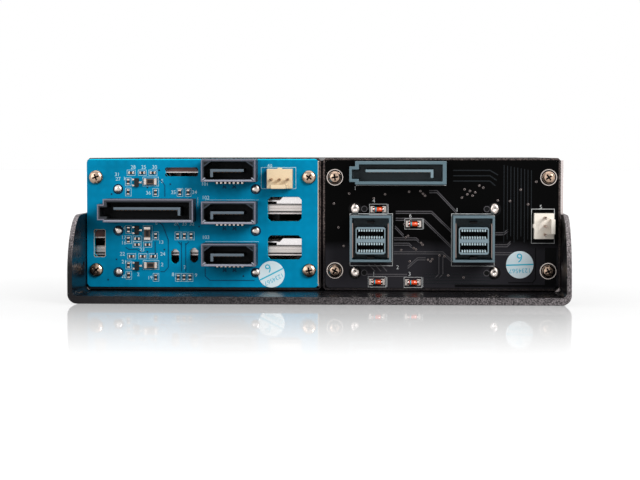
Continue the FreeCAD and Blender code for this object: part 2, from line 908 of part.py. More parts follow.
# ================================================================ sockets on the rear
def power_socket(x, z):
    """Fifteen-contact power plug: a shroud with a wing at one end and a keyed tongue inside."""
    span = (board_rear_y, board_rear_y + power_rise)
    half_width = power_width / 2
    half_height = power_height / 2
    wing_z = z - power_wing_drop
    main = box((x - half_width, x + half_width), span, (z - half_height, z + half_height))
    wing = box((x, x + half_width + power_wing_reach), span, around(wing_z, power_wing_height))
    depth = (board_rear_y + power_base, span[1])
    cavity = box(
        (x - half_width + power_end_wall, x + half_width - power_end_wall),
        depth,
        (z - half_height + power_side_wall, z + half_height - power_side_wall),
    )
    wing_cavity = box(
        (x, x + half_width + power_wing_reach - power_wing_wall),
        depth,
        around(wing_z, power_wing_height - 2 * power_side_wall),
    )
    shroud = union([main, wing]).cut(cavity).cut(wing_cavity)
    tongue_limits = around(x + power_tongue_shift, power_tongue_length)
    tongue_z = z + power_tongue_rise
    tongue = keyed_tongue(tongue_limits, tongue_z, power_key_drop, depth, -1)
    return union([shroud, tongue])


def keyed_tongue(x_limits, z, key_drop, depth, key_side):
    """Contact blade in a socket's cavity, with an L-shaped key at one end."""
    half = tongue_thickness / 2
    span = (depth[0], depth[1] - tongue_setback)
    blade = box(x_limits, span, (z - half, z + half))
    end = x_limits[0] if key_side < 0 else x_limits[1]
    key = box((end, end - key_side * tongue_thickness), span, (z - half - key_drop, z + half))
    return union([blade, key])


def data_socket(x, z):
    """Seven-contact data plug: a shroud whose cavity has filled corners, and a keyed tongue."""
    span = (board_rear_y, board_rear_y + data_rise)
    depth = (board_rear_y + power_base, span[1])
    half_width = data_width / 2 - data_wall
    half_height = data_height / 2 - data_wall
    upper_x, upper_z = data_upper_corner
    lower_x, lower_z = data_lower_corner
    half_outline = [
        (half_width - lower_x, -half_height),
        (half_width, lower_z - half_height),
        (half_width, half_height - upper_z),
        (half_width - upper_x, half_height),
    ]
    outline = [(x + u, z + v) for u, v in half_outline]
    outline += [(x - u, z + v) for u, v in reversed(half_outline)]
    shroud = box(around(x, data_width), span, around(z, data_height)).cut(prism("Y", depth, outline))
    tongue_limits = around(x + data_tongue_shift, data_tongue_length)
    tongue = keyed_tongue(tongue_limits, z, data_key_drop, depth, 1)
    return union([shroud, tongue])


def mini_sas_socket(x, z):
    """Mini-SAS HD socket: a tall shroud around a block with two card slots."""
    span = (board_rear_y, board_rear_y + sas_rise)
    base = board_rear_y + sas_base
    shroud = box(around(x, sas_width), span, around(z, sas_height))
    inside = around(x, sas_width - 2 * sas_wall), around(z, sas_height - 2 * sas_wall)
    cavity = box(inside[0], (base, span[1]), inside[1])
    block_z = z - sas_block_drop
    block_top = span[1] - sas_block_setback
    block_limits = around(x, sas_block_width), around(block_z, sas_block_height)
    block = bevelled("Y", (base, block_top), *block_limits, sas_block_bevel)
    slot_width = around(x, sas_slot_width)
    slot_depth = (block_top - sas_slot_depth, block_top)
    slots = [
        box(slot_width, slot_depth, around(place, sas_slot_height))
        for place in spread(block_z, sas_slot_spacing, sas_slot_count)
    ]
    return union([shroud.cut(cavity), cut(block, slots)])


def turned_limits(x, z, along, across, upright):
    """X and Z limits of a piece of a header whose row of pins lies along X, or along Z if upright."""
    if upright:
        along, across = across, along
    return (x + along[0], x + along[1]), (z + across[0], z + across[1])


def fan_header(x, z, upright):
    """Three-pin header: a low base, a tall tab that the plug snaps to, and a small rib opposite."""
    half = header_depth / 2
    base = turned_limits(x, z, around(0, header_width), (-half, half), upright)
    lock = turned_limits(x, z, around(0, header_lock_width), (-half, header_lock_wall - half), upright)
    rib = turned_limits(x, z, around(0, header_rib_width), (half, half + header_rib_depth), upright)
    shape = union([
        box(base[0], (board_rear_y, board_rear_y + header_rise), base[1]),
        box(lock[0], (board_rear_y, board_rear_y + header_lock_rise), lock[1]),
        box(rib[0], (board_rear_y, board_rear_y + header_rise), rib[1]),
    ])
    through = (board_rear_y, board_rear_y + header_rise)
    holes = [
        box(around(pin_x, header_pin_size), through, around(pin_z, header_pin_size))
        for pin_x, pin_z in header_pin_places(x, z, upright)
    ]
    return cut(shape, holes)


def header_pin_places(x, z, upright):
    places = []
    for step in spread(0, header_pin_pitch, header_pin_count):
        if upright:
            places.append((x - header_pin_shift, z + step))
        else:
            places.append((x + step, z - header_pin_shift))
    return places


def header_pins(places):
    """Square pins of the fan headers."""
    return [
        box(
            around(x, header_pin_size),
            (board_rear_y, board_rear_y + header_pin_rise),
            around(z, header_pin_size),
        )
        for x, z in places
    ]


# ================================================================ sockets for the drives
def peg_places(module):
    """X and Z of the soldered pegs that hold the drive sockets to the board."""
    middle = module.middle + connector_offset
    return [
        (x, module.plug_height(bay))
        for bay in range(module.bays)
        for x in around(middle, peg_spacing)
    ]


def drive_socket(module, bay):
    """Socket on the front of a board that the drive's plug enters."""
    x = module.middle + connector_offset
    z = module.plug_height(bay)
    span = (board_front_y - drive_socket_rise, board_front_y)
    mouth = (span[0], span[0] + socket_slot_depth)
    limits = around(x, drive_socket_width), around(z, module.socket_height)
    body = bevelled("Y", span, *limits, socket_bevel)
    low = x - drive_socket_width / 2 + socket_end_wall
    high = x + drive_socket_width / 2 - socket_end_wall
    if module is sata:
        slots = [(low, low + power_slot_width), (high - signal_slot_width, high)]
    else:
        slots = [(low, high)]
    return cut(body, [box(slot, mouth, around(z, socket_slot_height)) for slot in slots])


def socket_pegs(module, head_length, shift):
    """Heads of the soldered pegs on the rear of a board."""
    span = (board_rear_y, board_rear_y + peg_head_height)
    bevel = peg_head_radius * (1 - math.tan(math.pi / 8))
    heads = []
    for x, z in peg_places(module):
        limits = around(x, 2 * peg_head_radius), around(z + shift, head_length)
        heads.append(bevelled("Y", span, *limits, bevel))
    return Part.makeCompound(heads)


# ================================================================ small parts
def chip(x, z, size, upright):
    """Small part on the rear of the SATA board, its length along X, or along Z if upright."""
    length, width, rise = size
    if upright:
        length, width = width, length
    place = around(sata.middle + x, length), around(case_bottom + z, width)
    return box(place[0], (board_rear_y, board_rear_y + rise), place[1])


def resistors():
    size = (chip_length, chip_width, chip_rise)
    level = [(x, z) for z in level_row_z for x in level_row_x] + list(zip(level_pair_x, level_pair_z))
    upright = [(column_x, z - drop) for z in channel_z for drop in (0, column_drop)]
    for z, row in zip(upright_z, upright_x):
        upright += [(x, z) for x in row]
    parts = [chip(x, z, size, False) for x, z in level]
    parts += [chip(x, z, size, True) for x, z in upright]
    return Part.makeCompound(parts)


def capacitors():
    size = (capacitor_length, capacitor_width, capacitor_rise)
    parts = [chip(level_capacitor_x, z, size, False) for z in level_capacitor_z]
    parts.append(chip(upright_capacitor_x, upright_capacitor_z, size, True))
    return Part.makeCompound(parts)


def transistors():
    size = (transistor_length, transistor_width, transistor_rise)
    return Part.makeCompound([chip(transistor_x, z - transistor_drop, size, True) for z in channel_z])


def diodes():
    """Glass diodes lying on the rear of the NVMe board."""
    parts = []
    for x, z in zip(diode_x, diode_z):
        span = around(nvme.middle + x, diode_length)
        parts.append(octagon("X", span, board_rear_y + diode_radius, case_bottom + z, diode_radius))
    return Part.makeCompound(parts)


# ================================================================ the whole cage
def build_tray(module, bay):
    label = module.name + "_tray_" + str(bay + 1)
    export(label + "_sled", sled(module, bay))
    export(label + "_bezel", bezel(module, bay))
    export(label + "_lever", lever(module, bay))
    export(label + "_hinge_pin", hinge_pin(module, bay))
    export(label + "_latch_button", latch_button(module, bay))


def header_place(module):
    """X and Z of the middle of a board's fan header."""
    if module is sata:
        return sata.side(-1, case_sheet) + sata_header_inset, overall_height - sata_header_drop
    return nvme.side(-1, nvme_header_inset), case_bottom + nvme_header_z


def build_sata_board():
    middle = sata.middle
    export("sata_backplane", board(sata, sata_windows()))
    export("sata_power_socket", power_socket(middle + sata_power_x, case_bottom + sata_power_z))
    for bay in range(sata.bays):
        height = case_bottom + sata_data_z + sata.pitch * bay
        export("sata_data_socket_" + str(bay + 1), data_socket(middle + sata_data_x, height))
    export("sata_fan_header", fan_header(*header_place(sata), False))
    export("sata_socket_pegs", socket_pegs(sata, 2 * peg_head_radius, 0))
    export("resistors", resistors())
    export("capacitors", capacitors())
    export("transistors", transistors())


def build_nvme_board():
    middle = nvme.middle
    export("nvme_backplane", board(nvme, []))
    export("nvme_power_socket", power_socket(middle + nvme_power_x, overall_height - nvme_power_drop))
    for number, x in enumerate(mini_sas_x, 1):
        export("mini_sas_socket_" + str(number), mini_sas_socket(middle + x, case_bottom + mini_sas_z))
    export("nvme_fan_header", fan_header(*header_place(nvme), True))
    export("nvme_socket_pegs", socket_pegs(nvme, peg_head_length, peg_head_shift))
    export("diodes", diodes())


def build_header_pins():
    places = header_pin_places(*header_place(sata), False) + header_pin_places(*header_place(nvme), True)
    export("fan_header_pins", Part.makeCompound(header_pins(places)))


def main():
    os.makedirs("parts", exist_ok=True)
    export("outer_tray", outer_tray())
    export("front_frame", front_frame())
    for module in modules:
        export(module.name + "_case", case(module))
        for number, level in enumerate(divider_levels(module), 1):
            export(module.name + "_divider_" + str(number), divider(module, level))
        for bay in range(module.bays):
            export(module.name + "_drive_socket_" + str(bay + 1), drive_socket(module, bay))
            build_tray(module, bay)
    build_sata_board()
    build_nvme_board()
    build_header_pins()
    export("board_screws", board_screws())


main()
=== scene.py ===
"""Finish, small detail, light and camera for the hot swap drive cage.

Sizes are in millimetres until a mesh becomes an object. X is across, +Y points to the rear, the
side in the photograph, and +Z up.
"""
import json
import math

import bmesh
import bpy
from mathutils import Matrix, Vector


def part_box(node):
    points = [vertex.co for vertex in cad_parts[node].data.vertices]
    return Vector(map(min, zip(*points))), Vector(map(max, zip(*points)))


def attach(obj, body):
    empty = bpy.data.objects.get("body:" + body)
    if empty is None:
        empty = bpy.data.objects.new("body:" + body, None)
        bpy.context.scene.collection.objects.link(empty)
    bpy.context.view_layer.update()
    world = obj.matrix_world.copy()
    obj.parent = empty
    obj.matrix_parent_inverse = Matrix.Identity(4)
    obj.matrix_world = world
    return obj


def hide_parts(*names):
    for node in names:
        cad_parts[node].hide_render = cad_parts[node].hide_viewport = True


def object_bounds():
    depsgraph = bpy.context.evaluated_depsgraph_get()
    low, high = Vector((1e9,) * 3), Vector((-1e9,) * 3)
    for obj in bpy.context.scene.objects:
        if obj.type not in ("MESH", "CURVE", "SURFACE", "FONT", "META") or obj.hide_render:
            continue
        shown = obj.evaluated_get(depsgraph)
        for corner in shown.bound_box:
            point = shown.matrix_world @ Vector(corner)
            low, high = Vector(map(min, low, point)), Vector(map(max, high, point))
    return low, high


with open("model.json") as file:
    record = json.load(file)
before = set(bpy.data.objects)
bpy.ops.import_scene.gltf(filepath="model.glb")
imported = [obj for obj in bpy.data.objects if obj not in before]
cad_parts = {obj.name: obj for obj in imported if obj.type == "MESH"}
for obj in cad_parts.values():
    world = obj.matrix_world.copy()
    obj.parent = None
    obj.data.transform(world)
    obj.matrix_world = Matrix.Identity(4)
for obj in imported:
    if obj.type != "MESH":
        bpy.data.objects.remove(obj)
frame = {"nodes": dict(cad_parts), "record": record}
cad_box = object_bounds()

MM = 0.001
CAGE = "cage"
nodes = frame["nodes"]
record = frame["record"]
body_of_node = {
    node: body
    for body, members in record["behaviour"]["bodies"].items()
    for node in members
}
slot_of_node = {part["node"]: part["material_slot"] for part in record["subparts"]}


def limits(node):
    """Lowest and highest corners of a CAD node in millimetres."""
    low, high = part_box(node)
    return low / MM, high / MM


sata_low, sata_high = limits("sata_backplane")
nvme_low, nvme_high = limits("nvme_backplane")


# ---- shader nodes
def new_material(name):
    material = bpy.data.materials.new(name)
    material.use_nodes = True
    tree = material.node_tree
    return material, tree, tree.nodes["Principled BSDF"]


def feed(tree, node, inputs):
    """Sets a node's inputs to plain values, or links them to sockets."""
    for key, value in inputs.items():
        if isinstance(value, bpy.types.NodeSocket):
            tree.links.new(value, node.inputs[key])
        else:
            node.inputs[key].default_value = value


def add_node(tree, kind, inputs, **settings):
    node = tree.nodes.new(kind)
    for key, value in settings.items():
        setattr(node, key, value)
    feed(tree, node, inputs)
    return node


def coordinates(tree, kind="Object"):
    return add_node(tree, "ShaderNodeTexCoord", {}).outputs[kind]


def stretched(tree, stretch=(1, 1, 1)):
    """Object coordinates, scaled along each axis."""
    inputs = {"Vector": coordinates(tree), "Scale": stretch}
    return add_node(tree, "ShaderNodeMapping", inputs).outputs["Vector"]


def part_of(tree, kind, axis):
    """Position or normal along X, Y or Z of the object."""
    return add_node(tree, "ShaderNodeSeparateXYZ", {0: coordinates(tree, kind)}).outputs[axis]


def place(tree, axis):
    return part_of(tree, "Object", axis)


def noise(tree, vector, size, detail=3.0, roughness=0.55):
    scale = 1 / (size * MM)
    inputs = {"Vector": vector, "Scale": scale, "Detail": detail, "Roughness": roughness}
    return add_node(tree, "ShaderNodeTexNoise", inputs).outputs["Fac"]


def ranged(tree, value, low, high, start=0.3, end=0.7):
    """The value's start..end stretched to low..high."""
    inputs = {"Value": value, "From Min": start, "From Max": end, "To Min": low, "To Max": high}
    return add_node(tree, "ShaderNodeMapRange", inputs).outputs["Result"]


def blended(tree, factor, first, second):
    """Colour mix. Either colour may be a tuple or a socket."""
    inputs = {"Factor": factor}
    for index, colour in ((6, first), (7, second)):
        inputs[index] = (*colour, 1.0) if isinstance(colour, tuple) else colour
    return add_node(tree, "ShaderNodeMix", inputs, data_type="RGBA").outputs[2]


def maths(tree, operation, first, second=0.0):
    return add_node(tree, "ShaderNodeMath", {0: first, 1: second}, operation=operation).outputs[0]


def product(tree, first, second):
    return maths(tree, "MULTIPLY", first, second)


def larger(tree, first, second):
    return maths(tree, "MAXIMUM", first, second)


def weighed(tree, first, share, second):
    """Sum of the first value by its share and the second by the rest."""
    return maths(tree, "ADD", product(tree, first, share), product(tree, second, 1 - share))


def facing(tree, axis, operation, limit):
    """1 where the size of the normal's part along the axis passes a limit."""
    size = maths(tree, "ABSOLUTE", part_of(tree, "Normal", axis))
    return maths(tree, operation, size, limit)


def linear(red, green, blue):
    """Linear colour from display values of 0 to 255."""
    def one(value):
        value /= 255
        return value / 12.92 if value <= 0.04045 else ((value + 0.055) / 1.055) ** 2.4

    return (one(red), one(green), one(blue))


def shade(colour, factor):
    return tuple(min(1.0, channel * factor) for channel in colour)


def varied(tree, tone, colour, dark, light):
    """The colour by a factor from dark to light, as the tone rises."""
    return blended(tree, ranged(tree, tone, 0, 1), shade(colour, dark), shade(colour, light))


def bumped(tree, shader, height, strength, depth=0.02):
    inputs = {"Height": height, "Strength": strength, "Distance": depth * MM}
    feed(tree, shader, {"Normal": add_node(tree, "ShaderNodeBump", inputs).outputs["Normal"]})


# ---- materials
WEAR = 0.05                  # how far the roughness of a finish goes up and down
EDGE_ON = 0.6                # part of a normal past which a face counts as facing an axis


def finish(
    name, colour, roughness, metallic, specular, variation, grain, bump,
    depth=0.02, coat=0.0, blotch=12.0,
):
    """Material with fine grain in colour and relief, and broad blotches in its gloss."""
    material, tree, shader = new_material(name)
    fine = noise(tree, stretched(tree), grain)
    broad = noise(tree, stretched(tree), blotch, 4.0)
    tone = weighed(tree, fine, 0.6, broad)
    feed(tree, shader, {
        "Base Color": varied(tree, tone, colour, 1 - variation, 1 + variation),
        "Roughness": ranged(tree, broad, roughness - WEAR, roughness + WEAR),
        "Metallic": metallic,
        "Specular IOR Level": specular,
        "Coat Weight": coat,
    })
    bumped(tree, shader, fine, bump, depth)
    return material


def powder_coat(name, colour, edge_colour, roughness, specular, rim_from, low_edge_light, peel_depth):
    """Painted sheet: fine orange peel, dust, and rear edges where the paint is thin.

    Edges that face up count as rear edges from the height rim_from. Their bare colour is real wear,
    but
    how much of it shows is painted light: all of it from 23 mm up, less and less down to 11 mm as
    painted shade, and below that the first of low_edge_light at the -X side, falling to the second
    at the +X side.
    """
    material, tree, shader = new_material(name)
    vector = stretched(tree)
    peel = noise(tree, vector, 0.55, 2.0)
    dust = noise(tree, vector, 0.18, 5.0, 0.7)
    broad = noise(tree, vector, 18.0, 4.0)
    speck = ranged(tree, dust, 0, 0.35, 0.62, 0.74)
    base = varied(tree, broad, colour, 0.75, 1.25)
    base = blended(tree, speck, base, shade(edge_colour, 0.8))

    height = place(tree, "Z")
    side = facing(tree, "X", "LESS_THAN", EDGE_ON)
    high = maths(tree, "GREATER_THAN", height, rim_from * MM)
    rim = larger(tree, product(tree, side, high), facing(tree, "Y", "GREATER_THAN", EDGE_ON))
    mottle = noise(tree, vector, 0.35, 4.0, 0.75)
    worn = product(tree, rim, ranged(tree, mottle, 0.0, 1.25, 0.42, 0.66))

    # Painted light and shade: the bare edge colour shows fully on high edges and less low down,
    # where low_edge_light gives its share, more at -X than at +X.
    lit = ranged(tree, height, 0.0, 1.0, 11 * MM, 23 * MM)
    low = ranged(tree, place(tree, "X"), *low_edge_light, -70 * MM, 70 * MM)
    lit = maths(tree, "ADD", lit, product(tree, maths(tree, "SUBTRACT", 1.0, lit), low))
    gloss = ranged(tree, broad, roughness - 0.03, roughness + 0.05)
    feed(tree, shader, {
        "Base Color": blended(tree, product(tree, worn, lit), base, edge_colour),
        "Roughness": maths(tree, "ADD", product(tree, rim, 0.3), gloss),
        "Specular IOR Level": specular,
    })
    bumped(tree, shader, peel, 0.12, peel_depth)
    return material


def sheet_steel(name, colour, roughness, stretch):
    """Plated steel sheet with drawn streaks, faint blotches and small scratches."""
    material, tree, shader = new_material(name)
    streak = noise(tree, stretched(tree, stretch), 0.25, 4.0, 0.6)
    broad = noise(tree, stretched(tree), 7.0, 4.0)
    feed(tree, shader, {
        "Base Color": varied(tree, weighed(tree, streak, 0.55, broad), colour, 0.82, 1.12),
        "Roughness": ranged(tree, streak, roughness - 0.07, roughness + 0.1),
        "Metallic": 1.0,
    })
    bumped(tree, shader, streak, 0.12)
    return material


# Painted reflection on a rolled hem: grey levels, each at a share of its height.
HEM_REFLECTION_LEVELS = (
    (0.0, 190), (0.13, 200), (0.17, 40), (0.25, 40), (0.3, 176), (0.5, 206),
    (0.56, 168), (0.62, 196), (0.8, 206), (0.86, 150), (0.93, 160), (0.98, 60),
)


def hem_painted_reflection(name, node):
    """Rolled steel edge with a painted reflection: light and dark bands up it, for what is round
    it.
    """
    low, high = limits(node)
    material, tree, shader = new_material(name)
    streak = noise(tree, stretched(tree, (0.06, 1.0, 1.6)), 0.3, 4.0, 0.6)
    wobble = product(tree, maths(tree, "SUBTRACT", streak, 0.5), 0.05)
    level = ranged(tree, place(tree, "Z"), 0.0, 1.0, low.z * MM, high.z * MM)
    ramp = add_node(tree, "ShaderNodeValToRGB", {0: maths(tree, "ADD", level, wobble)})
    bands = ramp.color_ramp.elements
    while len(bands) < len(HEM_REFLECTION_LEVELS):
        bands.new(0.5)
    for band, (spot, grey) in zip(bands, HEM_REFLECTION_LEVELS):
        band.position = spot
        band.color = (*linear(grey, grey * 0.96, grey * 0.94), 1.0)
    feed(tree, shader, {
        "Base Color": ramp.outputs[0],
        "Roughness": ranged(tree, streak, 0.2, 0.34),
        "Metallic": 0.85,
    })
    bumped(tree, shader, streak, 0.15)
    return material


def circuit_board(name, colour, edge_colour, roughness, mask, low_sheen_colour=None, line=None):
    """Solder mask over laminate: faint weave, broad copper areas, edges in a painted highlight
    colour.

    The low sheen colour, if any, is a painted sheen on the board's lowest part. The line, if any,
    is the X and the Z past which the edge colour is painted on the face as a highlight along the
    edge.
    """
    material, tree, shader = new_material(name)
    vector = stretched(tree)
    weave = []
    for axis in ("X", "Z"):
        inputs = {"Vector": vector, "Scale": 1 / (9 * MM), "Distortion": 0.8}
        wave = add_node(tree, "ShaderNodeTexWave", inputs, bands_direction=axis)
        weave.append(wave.outputs["Fac"])
    cloth = product(tree, *weave)
    broad = noise(tree, vector, 14.0, 3.0)
    fine = noise(tree, vector, 0.25, 3.0)
    base = varied(tree, broad, colour, 1 - mask, 1 + mask)
    base = blended(tree, ranged(tree, cloth, 0, 0.16, 0, 1), base, shade(colour, 1.5))
    # Painted sheen: the lowest part of the board takes a lighter colour for a reflection.
    if low_sheen_colour:
        level = maths(tree, "ADD", place(tree, "Z"), product(tree, broad, 2 * MM))
        low = ranged(tree, level, 1.0, 0.0, 15.5 * MM, 18.5 * MM)
        base = blended(tree, low, base, low_sheen_colour)
    # Painted highlight: faces that don't face along Y, the board's edges, take the edge colour.
    edge = facing(tree, "Y", "LESS_THAN", 0.7)
    # Painted highlight along the top edge, and fainter along the inner side.
    if line:
        inner = maths(tree, "LESS_THAN", place(tree, "X"), line[0] * MM)
        upper = maths(tree, "GREATER_THAN", place(tree, "Z"), line[1] * MM)
        edge = larger(tree, edge, larger(tree, product(tree, inner, 0.35), upper))
    feed(tree, shader, {
        "Base Color": blended(tree, edge, base, edge_colour),
        "Roughness": ranged(tree, fine, roughness - 0.04, roughness + 0.06),
        "Specular IOR Level": 0.03,
    })
    bumped(tree, shader, cloth, 0.05, 0.01)
    return material


# Red, green and blue on display, roughness, metallic, specular, variation of the colour, size of
# the grain and strength of the bump. Some add the bump's depth, the coat and the blotches' size.
FINISHES = {
    "black_plastic": (26, 26, 28, 0.48, 0.0, 0.4, 0.12, 0.35, 0.35, 0.03),
    "button_plastic": (112, 116, 122, 0.42, 0.0, 0.5, 0.12, 0.3, 0.2),
    "dark_socket": (38, 46, 56, 0.42, 0.0, 0.3, 0.1, 0.25, 0.12),
    "teal_socket": (82, 104, 113, 0.36, 0.0, 0.35, 0.1, 0.25, 0.12),
    "cream_header": (216, 194, 160, 0.45, 0.0, 0.5, 0.06, 0.4, 0.1),
    "white_header": (232, 224, 212, 0.45, 0.0, 0.5, 0.06, 0.4, 0.1),
    "inner_socket": (28, 28, 30, 0.42, 0.0, 0.5, 0.15, 0.3, 0.12),
    "nickel": (172, 148, 130, 0.2, 1.0, 0.5, 0.1, 0.3, 0.1, 0.02, 0.0, 2.0),
    "solder": (188, 178, 172, 0.24, 1.0, 0.5, 0.12, 0.5, 0.35, 0.05, 0.0, 1.5),
    "resistor": (36, 28, 27, 0.4, 0.0, 0.2, 0.25, 0.2, 0.15),
    "capacitor": (92, 74, 62, 0.42, 0.0, 0.25, 0.2, 0.3, 0.15),
    "transistor": (20, 20, 22, 0.5, 0.0, 0.2, 0.25, 0.2, 0.3),
    "pin_metal": (150, 112, 84, 0.26, 1.0, 0.5, 0.12, 0.3, 0.1),
    "diode_glass": (228, 74, 22, 0.12, 0.0, 0.5, 0.2, 0.4, 0.05, 0.02, 0.6),
    "print_white": (176, 208, 216, 0.6, 0.0, 0.1, 0.15, 0.25, 0.2),
    "print_grey": (176, 178, 178, 0.6, 0.0, 0.1, 0.15, 0.25, 0.2),
    "blue_track": (0, 76, 110, 0.36, 0.0, 0.08, 0.15, 0.6, 0.05),
    "black_track": (76, 74, 77, 0.36, 0.0, 0.15, 0.25, 0.6, 0.05),
    "faint_track": (22, 26, 29, 0.36, 0.0, 0.1, 0.25, 0.6, 0.05),
    "contact_metal": (88, 68, 52, 0.34, 1.0, 0.5, 0.15, 0.4, 0.1),
    "via_metal": (104, 96, 94, 0.34, 1.0, 0.5, 0.15, 0.4, 0.15),
    "laminate": (206, 184, 160, 0.45, 0.0, 0.3, 0.12, 0.3, 0.1),
    "edge_steel": (196, 186, 184, 0.26, 0.6, 0.5, 0.12, 0.3, 0.1),
    "bare_black": (5, 5, 6, 0.36, 0.0, 0.05, 0.3, 0.5, 0.05),
    "dull_metal": (140, 122, 116, 0.3, 1.0, 0.5, 0.15, 0.4, 0.15),
    "pale_teal": (172, 192, 198, 0.4, 0.0, 0.5, 0.08, 0.3, 0.1),
    "band_teal": (20, 150, 165, 0.3, 0.0, 0.5, 0.1, 0.3, 0.15),
    "label_paper": (206, 222, 228, 0.55, 0.0, 0.5, 0.04, 0.3, 0.15),
    "label_ink": (24, 172, 200, 0.55, 0.0, 0.5, 0.08, 0.3, 0.1),
    "dark_band": (0, 100, 144, 0.4, 0.0, 0.08, 0.1, 0.4, 0.05),
    # Painted shade: near black for holes, slots, gaps and recesses.
    "painted_shade_black": (8, 8, 9, 0.6, 0.0, 0.1, 0.2, 0.4, 0.1),
    "shadowed": (13, 15, 18, 0.6, 0.0, 0.15, 0.2, 0.4, 0.1),
    "rim_shade": (30, 33, 40, 0.42, 0.0, 0.3, 0.15, 0.25, 0.12),
    # Painted highlights on the dark sockets' outer edges and lower lips, in this and the next
    # colour.
    "highlight_edge_grey": (108, 107, 120, 0.4, 0.0, 0.3, 0.2, 0.35, 0.15),
    "highlight_grey": (146, 148, 160, 0.4, 0.0, 0.3, 0.15, 0.35, 0.15),
    "brown_steel": (112, 74, 68, 0.4, 0.0, 0.2, 0.15, 0.4, 0.15),
    # Painted shade inside the teal power socket.
    "teal_painted_shade": (42, 56, 62, 0.4, 0.0, 0.3, 0.2, 0.4, 0.1),
    # Painted shade inside the mini-SAS shrouds.
    "shaded_cavity_teal": (70, 90, 98, 0.4, 0.0, 0.3, 0.25, 0.4, 0.1),
    # Painted highlight on the end of the teal socket's tongue.
    "highlight_tongue_teal": (116, 136, 144, 0.4, 0.0, 0.3, 0.08, 0.3, 0.1),
    "lip_steel": (222, 218, 218, 0.2, 1.0, 0.5, 0.1, 0.3, 0.1),
    "shroud": (88, 106, 114, 0.36, 0.0, 0.3, 0.1, 0.25, 0.12),
    # Painted highlight on the end of the grey sockets' tongues.
    "highlight_tongue_grey": (86, 98, 108, 0.4, 0.0, 0.3, 0.08, 0.3, 0.1),
    "card_block": (112, 130, 138, 0.42, 0.0, 0.3, 0.08, 0.3, 0.12),
    "navy": (0, 34, 66, 0.4, 0.0, 0.1, 0.2, 0.4, 0.05),
}
paint = {name: finish(name, linear(*row[:3]), *row[3:]) for name, row in FINISHES.items()}
# For both sheets low_edge_light is painted light on their lowest edges at -X, and none at +X.
paint["black_sheet"] = powder_coat(
    "black_sheet", linear(16, 15, 17), linear(172, 163, 165), 0.26, 0.12, 4.0, (0.5, 0.0), 0.008
)
paint["case_steel"] = powder_coat(
    "case_steel", linear(20, 20, 23), linear(104, 92, 88), 0.34, 0.05, 200.0, (0.3, 0.0), 0.02
)
paint["bright_steel"] = sheet_steel("bright_steel", linear(182, 172, 167), 0.24, (0.12, 2.0, 1.0))
# The blue board's edges and its top edge line carry a painted cyan highlight.
paint["blue_board"] = circuit_board(
    "blue_board", linear(0, 124, 164), linear(2, 196, 232), 0.38, 0.18,
    line=(sata_low.x + 0.28, sata_high.z - 0.3),
)
# The black board's lowest part carries a painted sheen.
paint["black_board"] = circuit_board(
    "black_board", linear(1, 1, 1), linear(28, 27, 26), 0.34, 0.35, low_sheen_colour=linear(39, 38, 42)
)

for node, thing in nodes.items():
    look = paint[slot_of_node[node]]
    if node.startswith("sata_divider"):
        # The shelves' rolled edges get a painted reflection.
        look = hem_painted_reflection("painted_reflection_hem_of_" + node, node)
    for material_slot in thing.material_slots:
        material_slot.material = look


# ---- objects
def new_object(name, data):
    thing = bpy.data.objects.new(name, data)
    bpy.context.collection.objects.link(thing)
    return thing


def mesh_object(name, mesh):
    """Object made of a bmesh, which is used up."""
    data = bpy.data.meshes.new(name)
    mesh.to_mesh(data)
    mesh.free()
    return new_object(name, data)


def round_edges(thing, width, angle):
    """Rounds edges that turn by more than the angle."""
    modifier = thing.modifiers.new("edges", "BEVEL")
    modifier.width = width * MM
    modifier.segments = 2
    modifier.limit_method = "ANGLE"
    modifier.angle_limit = math.radians(angle)


def piece(name, build, slot, materials, body=CAGE, bevel=0.0, smooth=False, stands_for=()):
    """Mesh object from build(mesh), in millimetres, riding on a body."""
    mesh = bmesh.new()
    build(mesh)
    bmesh.ops.recalc_face_normals(mesh, faces=mesh.faces)
    bmesh.ops.scale(mesh, vec=(MM, MM, MM), verts=mesh.verts)
    thing = mesh_object(name, mesh)
    for material in materials:
        thing.data.materials.append(paint[material])
    if smooth:
        for face in thing.data.polygons:
            face.use_smooth = True
    if bevel:
        round_edges(thing, bevel, 40)
    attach(thing, body)
    if stands_for:
        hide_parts(*stands_for)


def drawn(slot, *materials, **settings):
    """Decorator that makes a piece with the function below it, and names it after it."""
    def make(build):
        piece(build.__name__, build, slot, materials, **settings)
        return build

    return make


def softened(node, width):
    """Copy of a CAD node with its sharp edges rounded, which stands for it."""
    mesh = bmesh.new()
    mesh.from_mesh(nodes[node].data)
    bmesh.ops.remove_doubles(mesh, verts=mesh.verts, dist=0.002 * MM)
    bmesh.ops.dissolve_limit(
        mesh, angle_limit=math.radians(1), verts=mesh.verts, edges=mesh.edges, delimit={"NORMAL"}
    )
    data = nodes[node].data.copy()
    mesh.to_mesh(data)
    mesh.free()
    data.materials.clear()
    data.materials.append(paint[slot_of_node[node]])
    thing = new_object("soft_" + node, data)
    if width:
        round_edges(thing, width, 50)
    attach(thing, body_of_node[node])
    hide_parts(node)
    return thing


def recoloured(thing, material, chosen):
    """Gives a second material to the faces whose middle and normal, in millimetres, are chosen."""
    thing.data.materials.append(paint[material])
    index = len(thing.data.materials) - 1
    for face in thing.data.polygons:
        if chosen(face.center / MM, face.normal):
            face.material_index = index


# ---- shapes, in millimetres
def about(middle, size):
    return (middle - size / 2, middle + size / 2)


def spread(middle, pitch, count):
    """Evenly spaced places about a middle."""
    return [middle + pitch * (step - (count - 1) / 2) for step in range(count)]


def circle(sides):
    turns = [2 * math.pi * step / sides for step in range(sides)]
    return [(math.cos(turn), math.sin(turn)) for turn in turns]


def rectangle(half_x, half_z):
    return [(-half_x, -half_z), (half_x, -half_z), (half_x, half_z), (-half_x, half_z)]


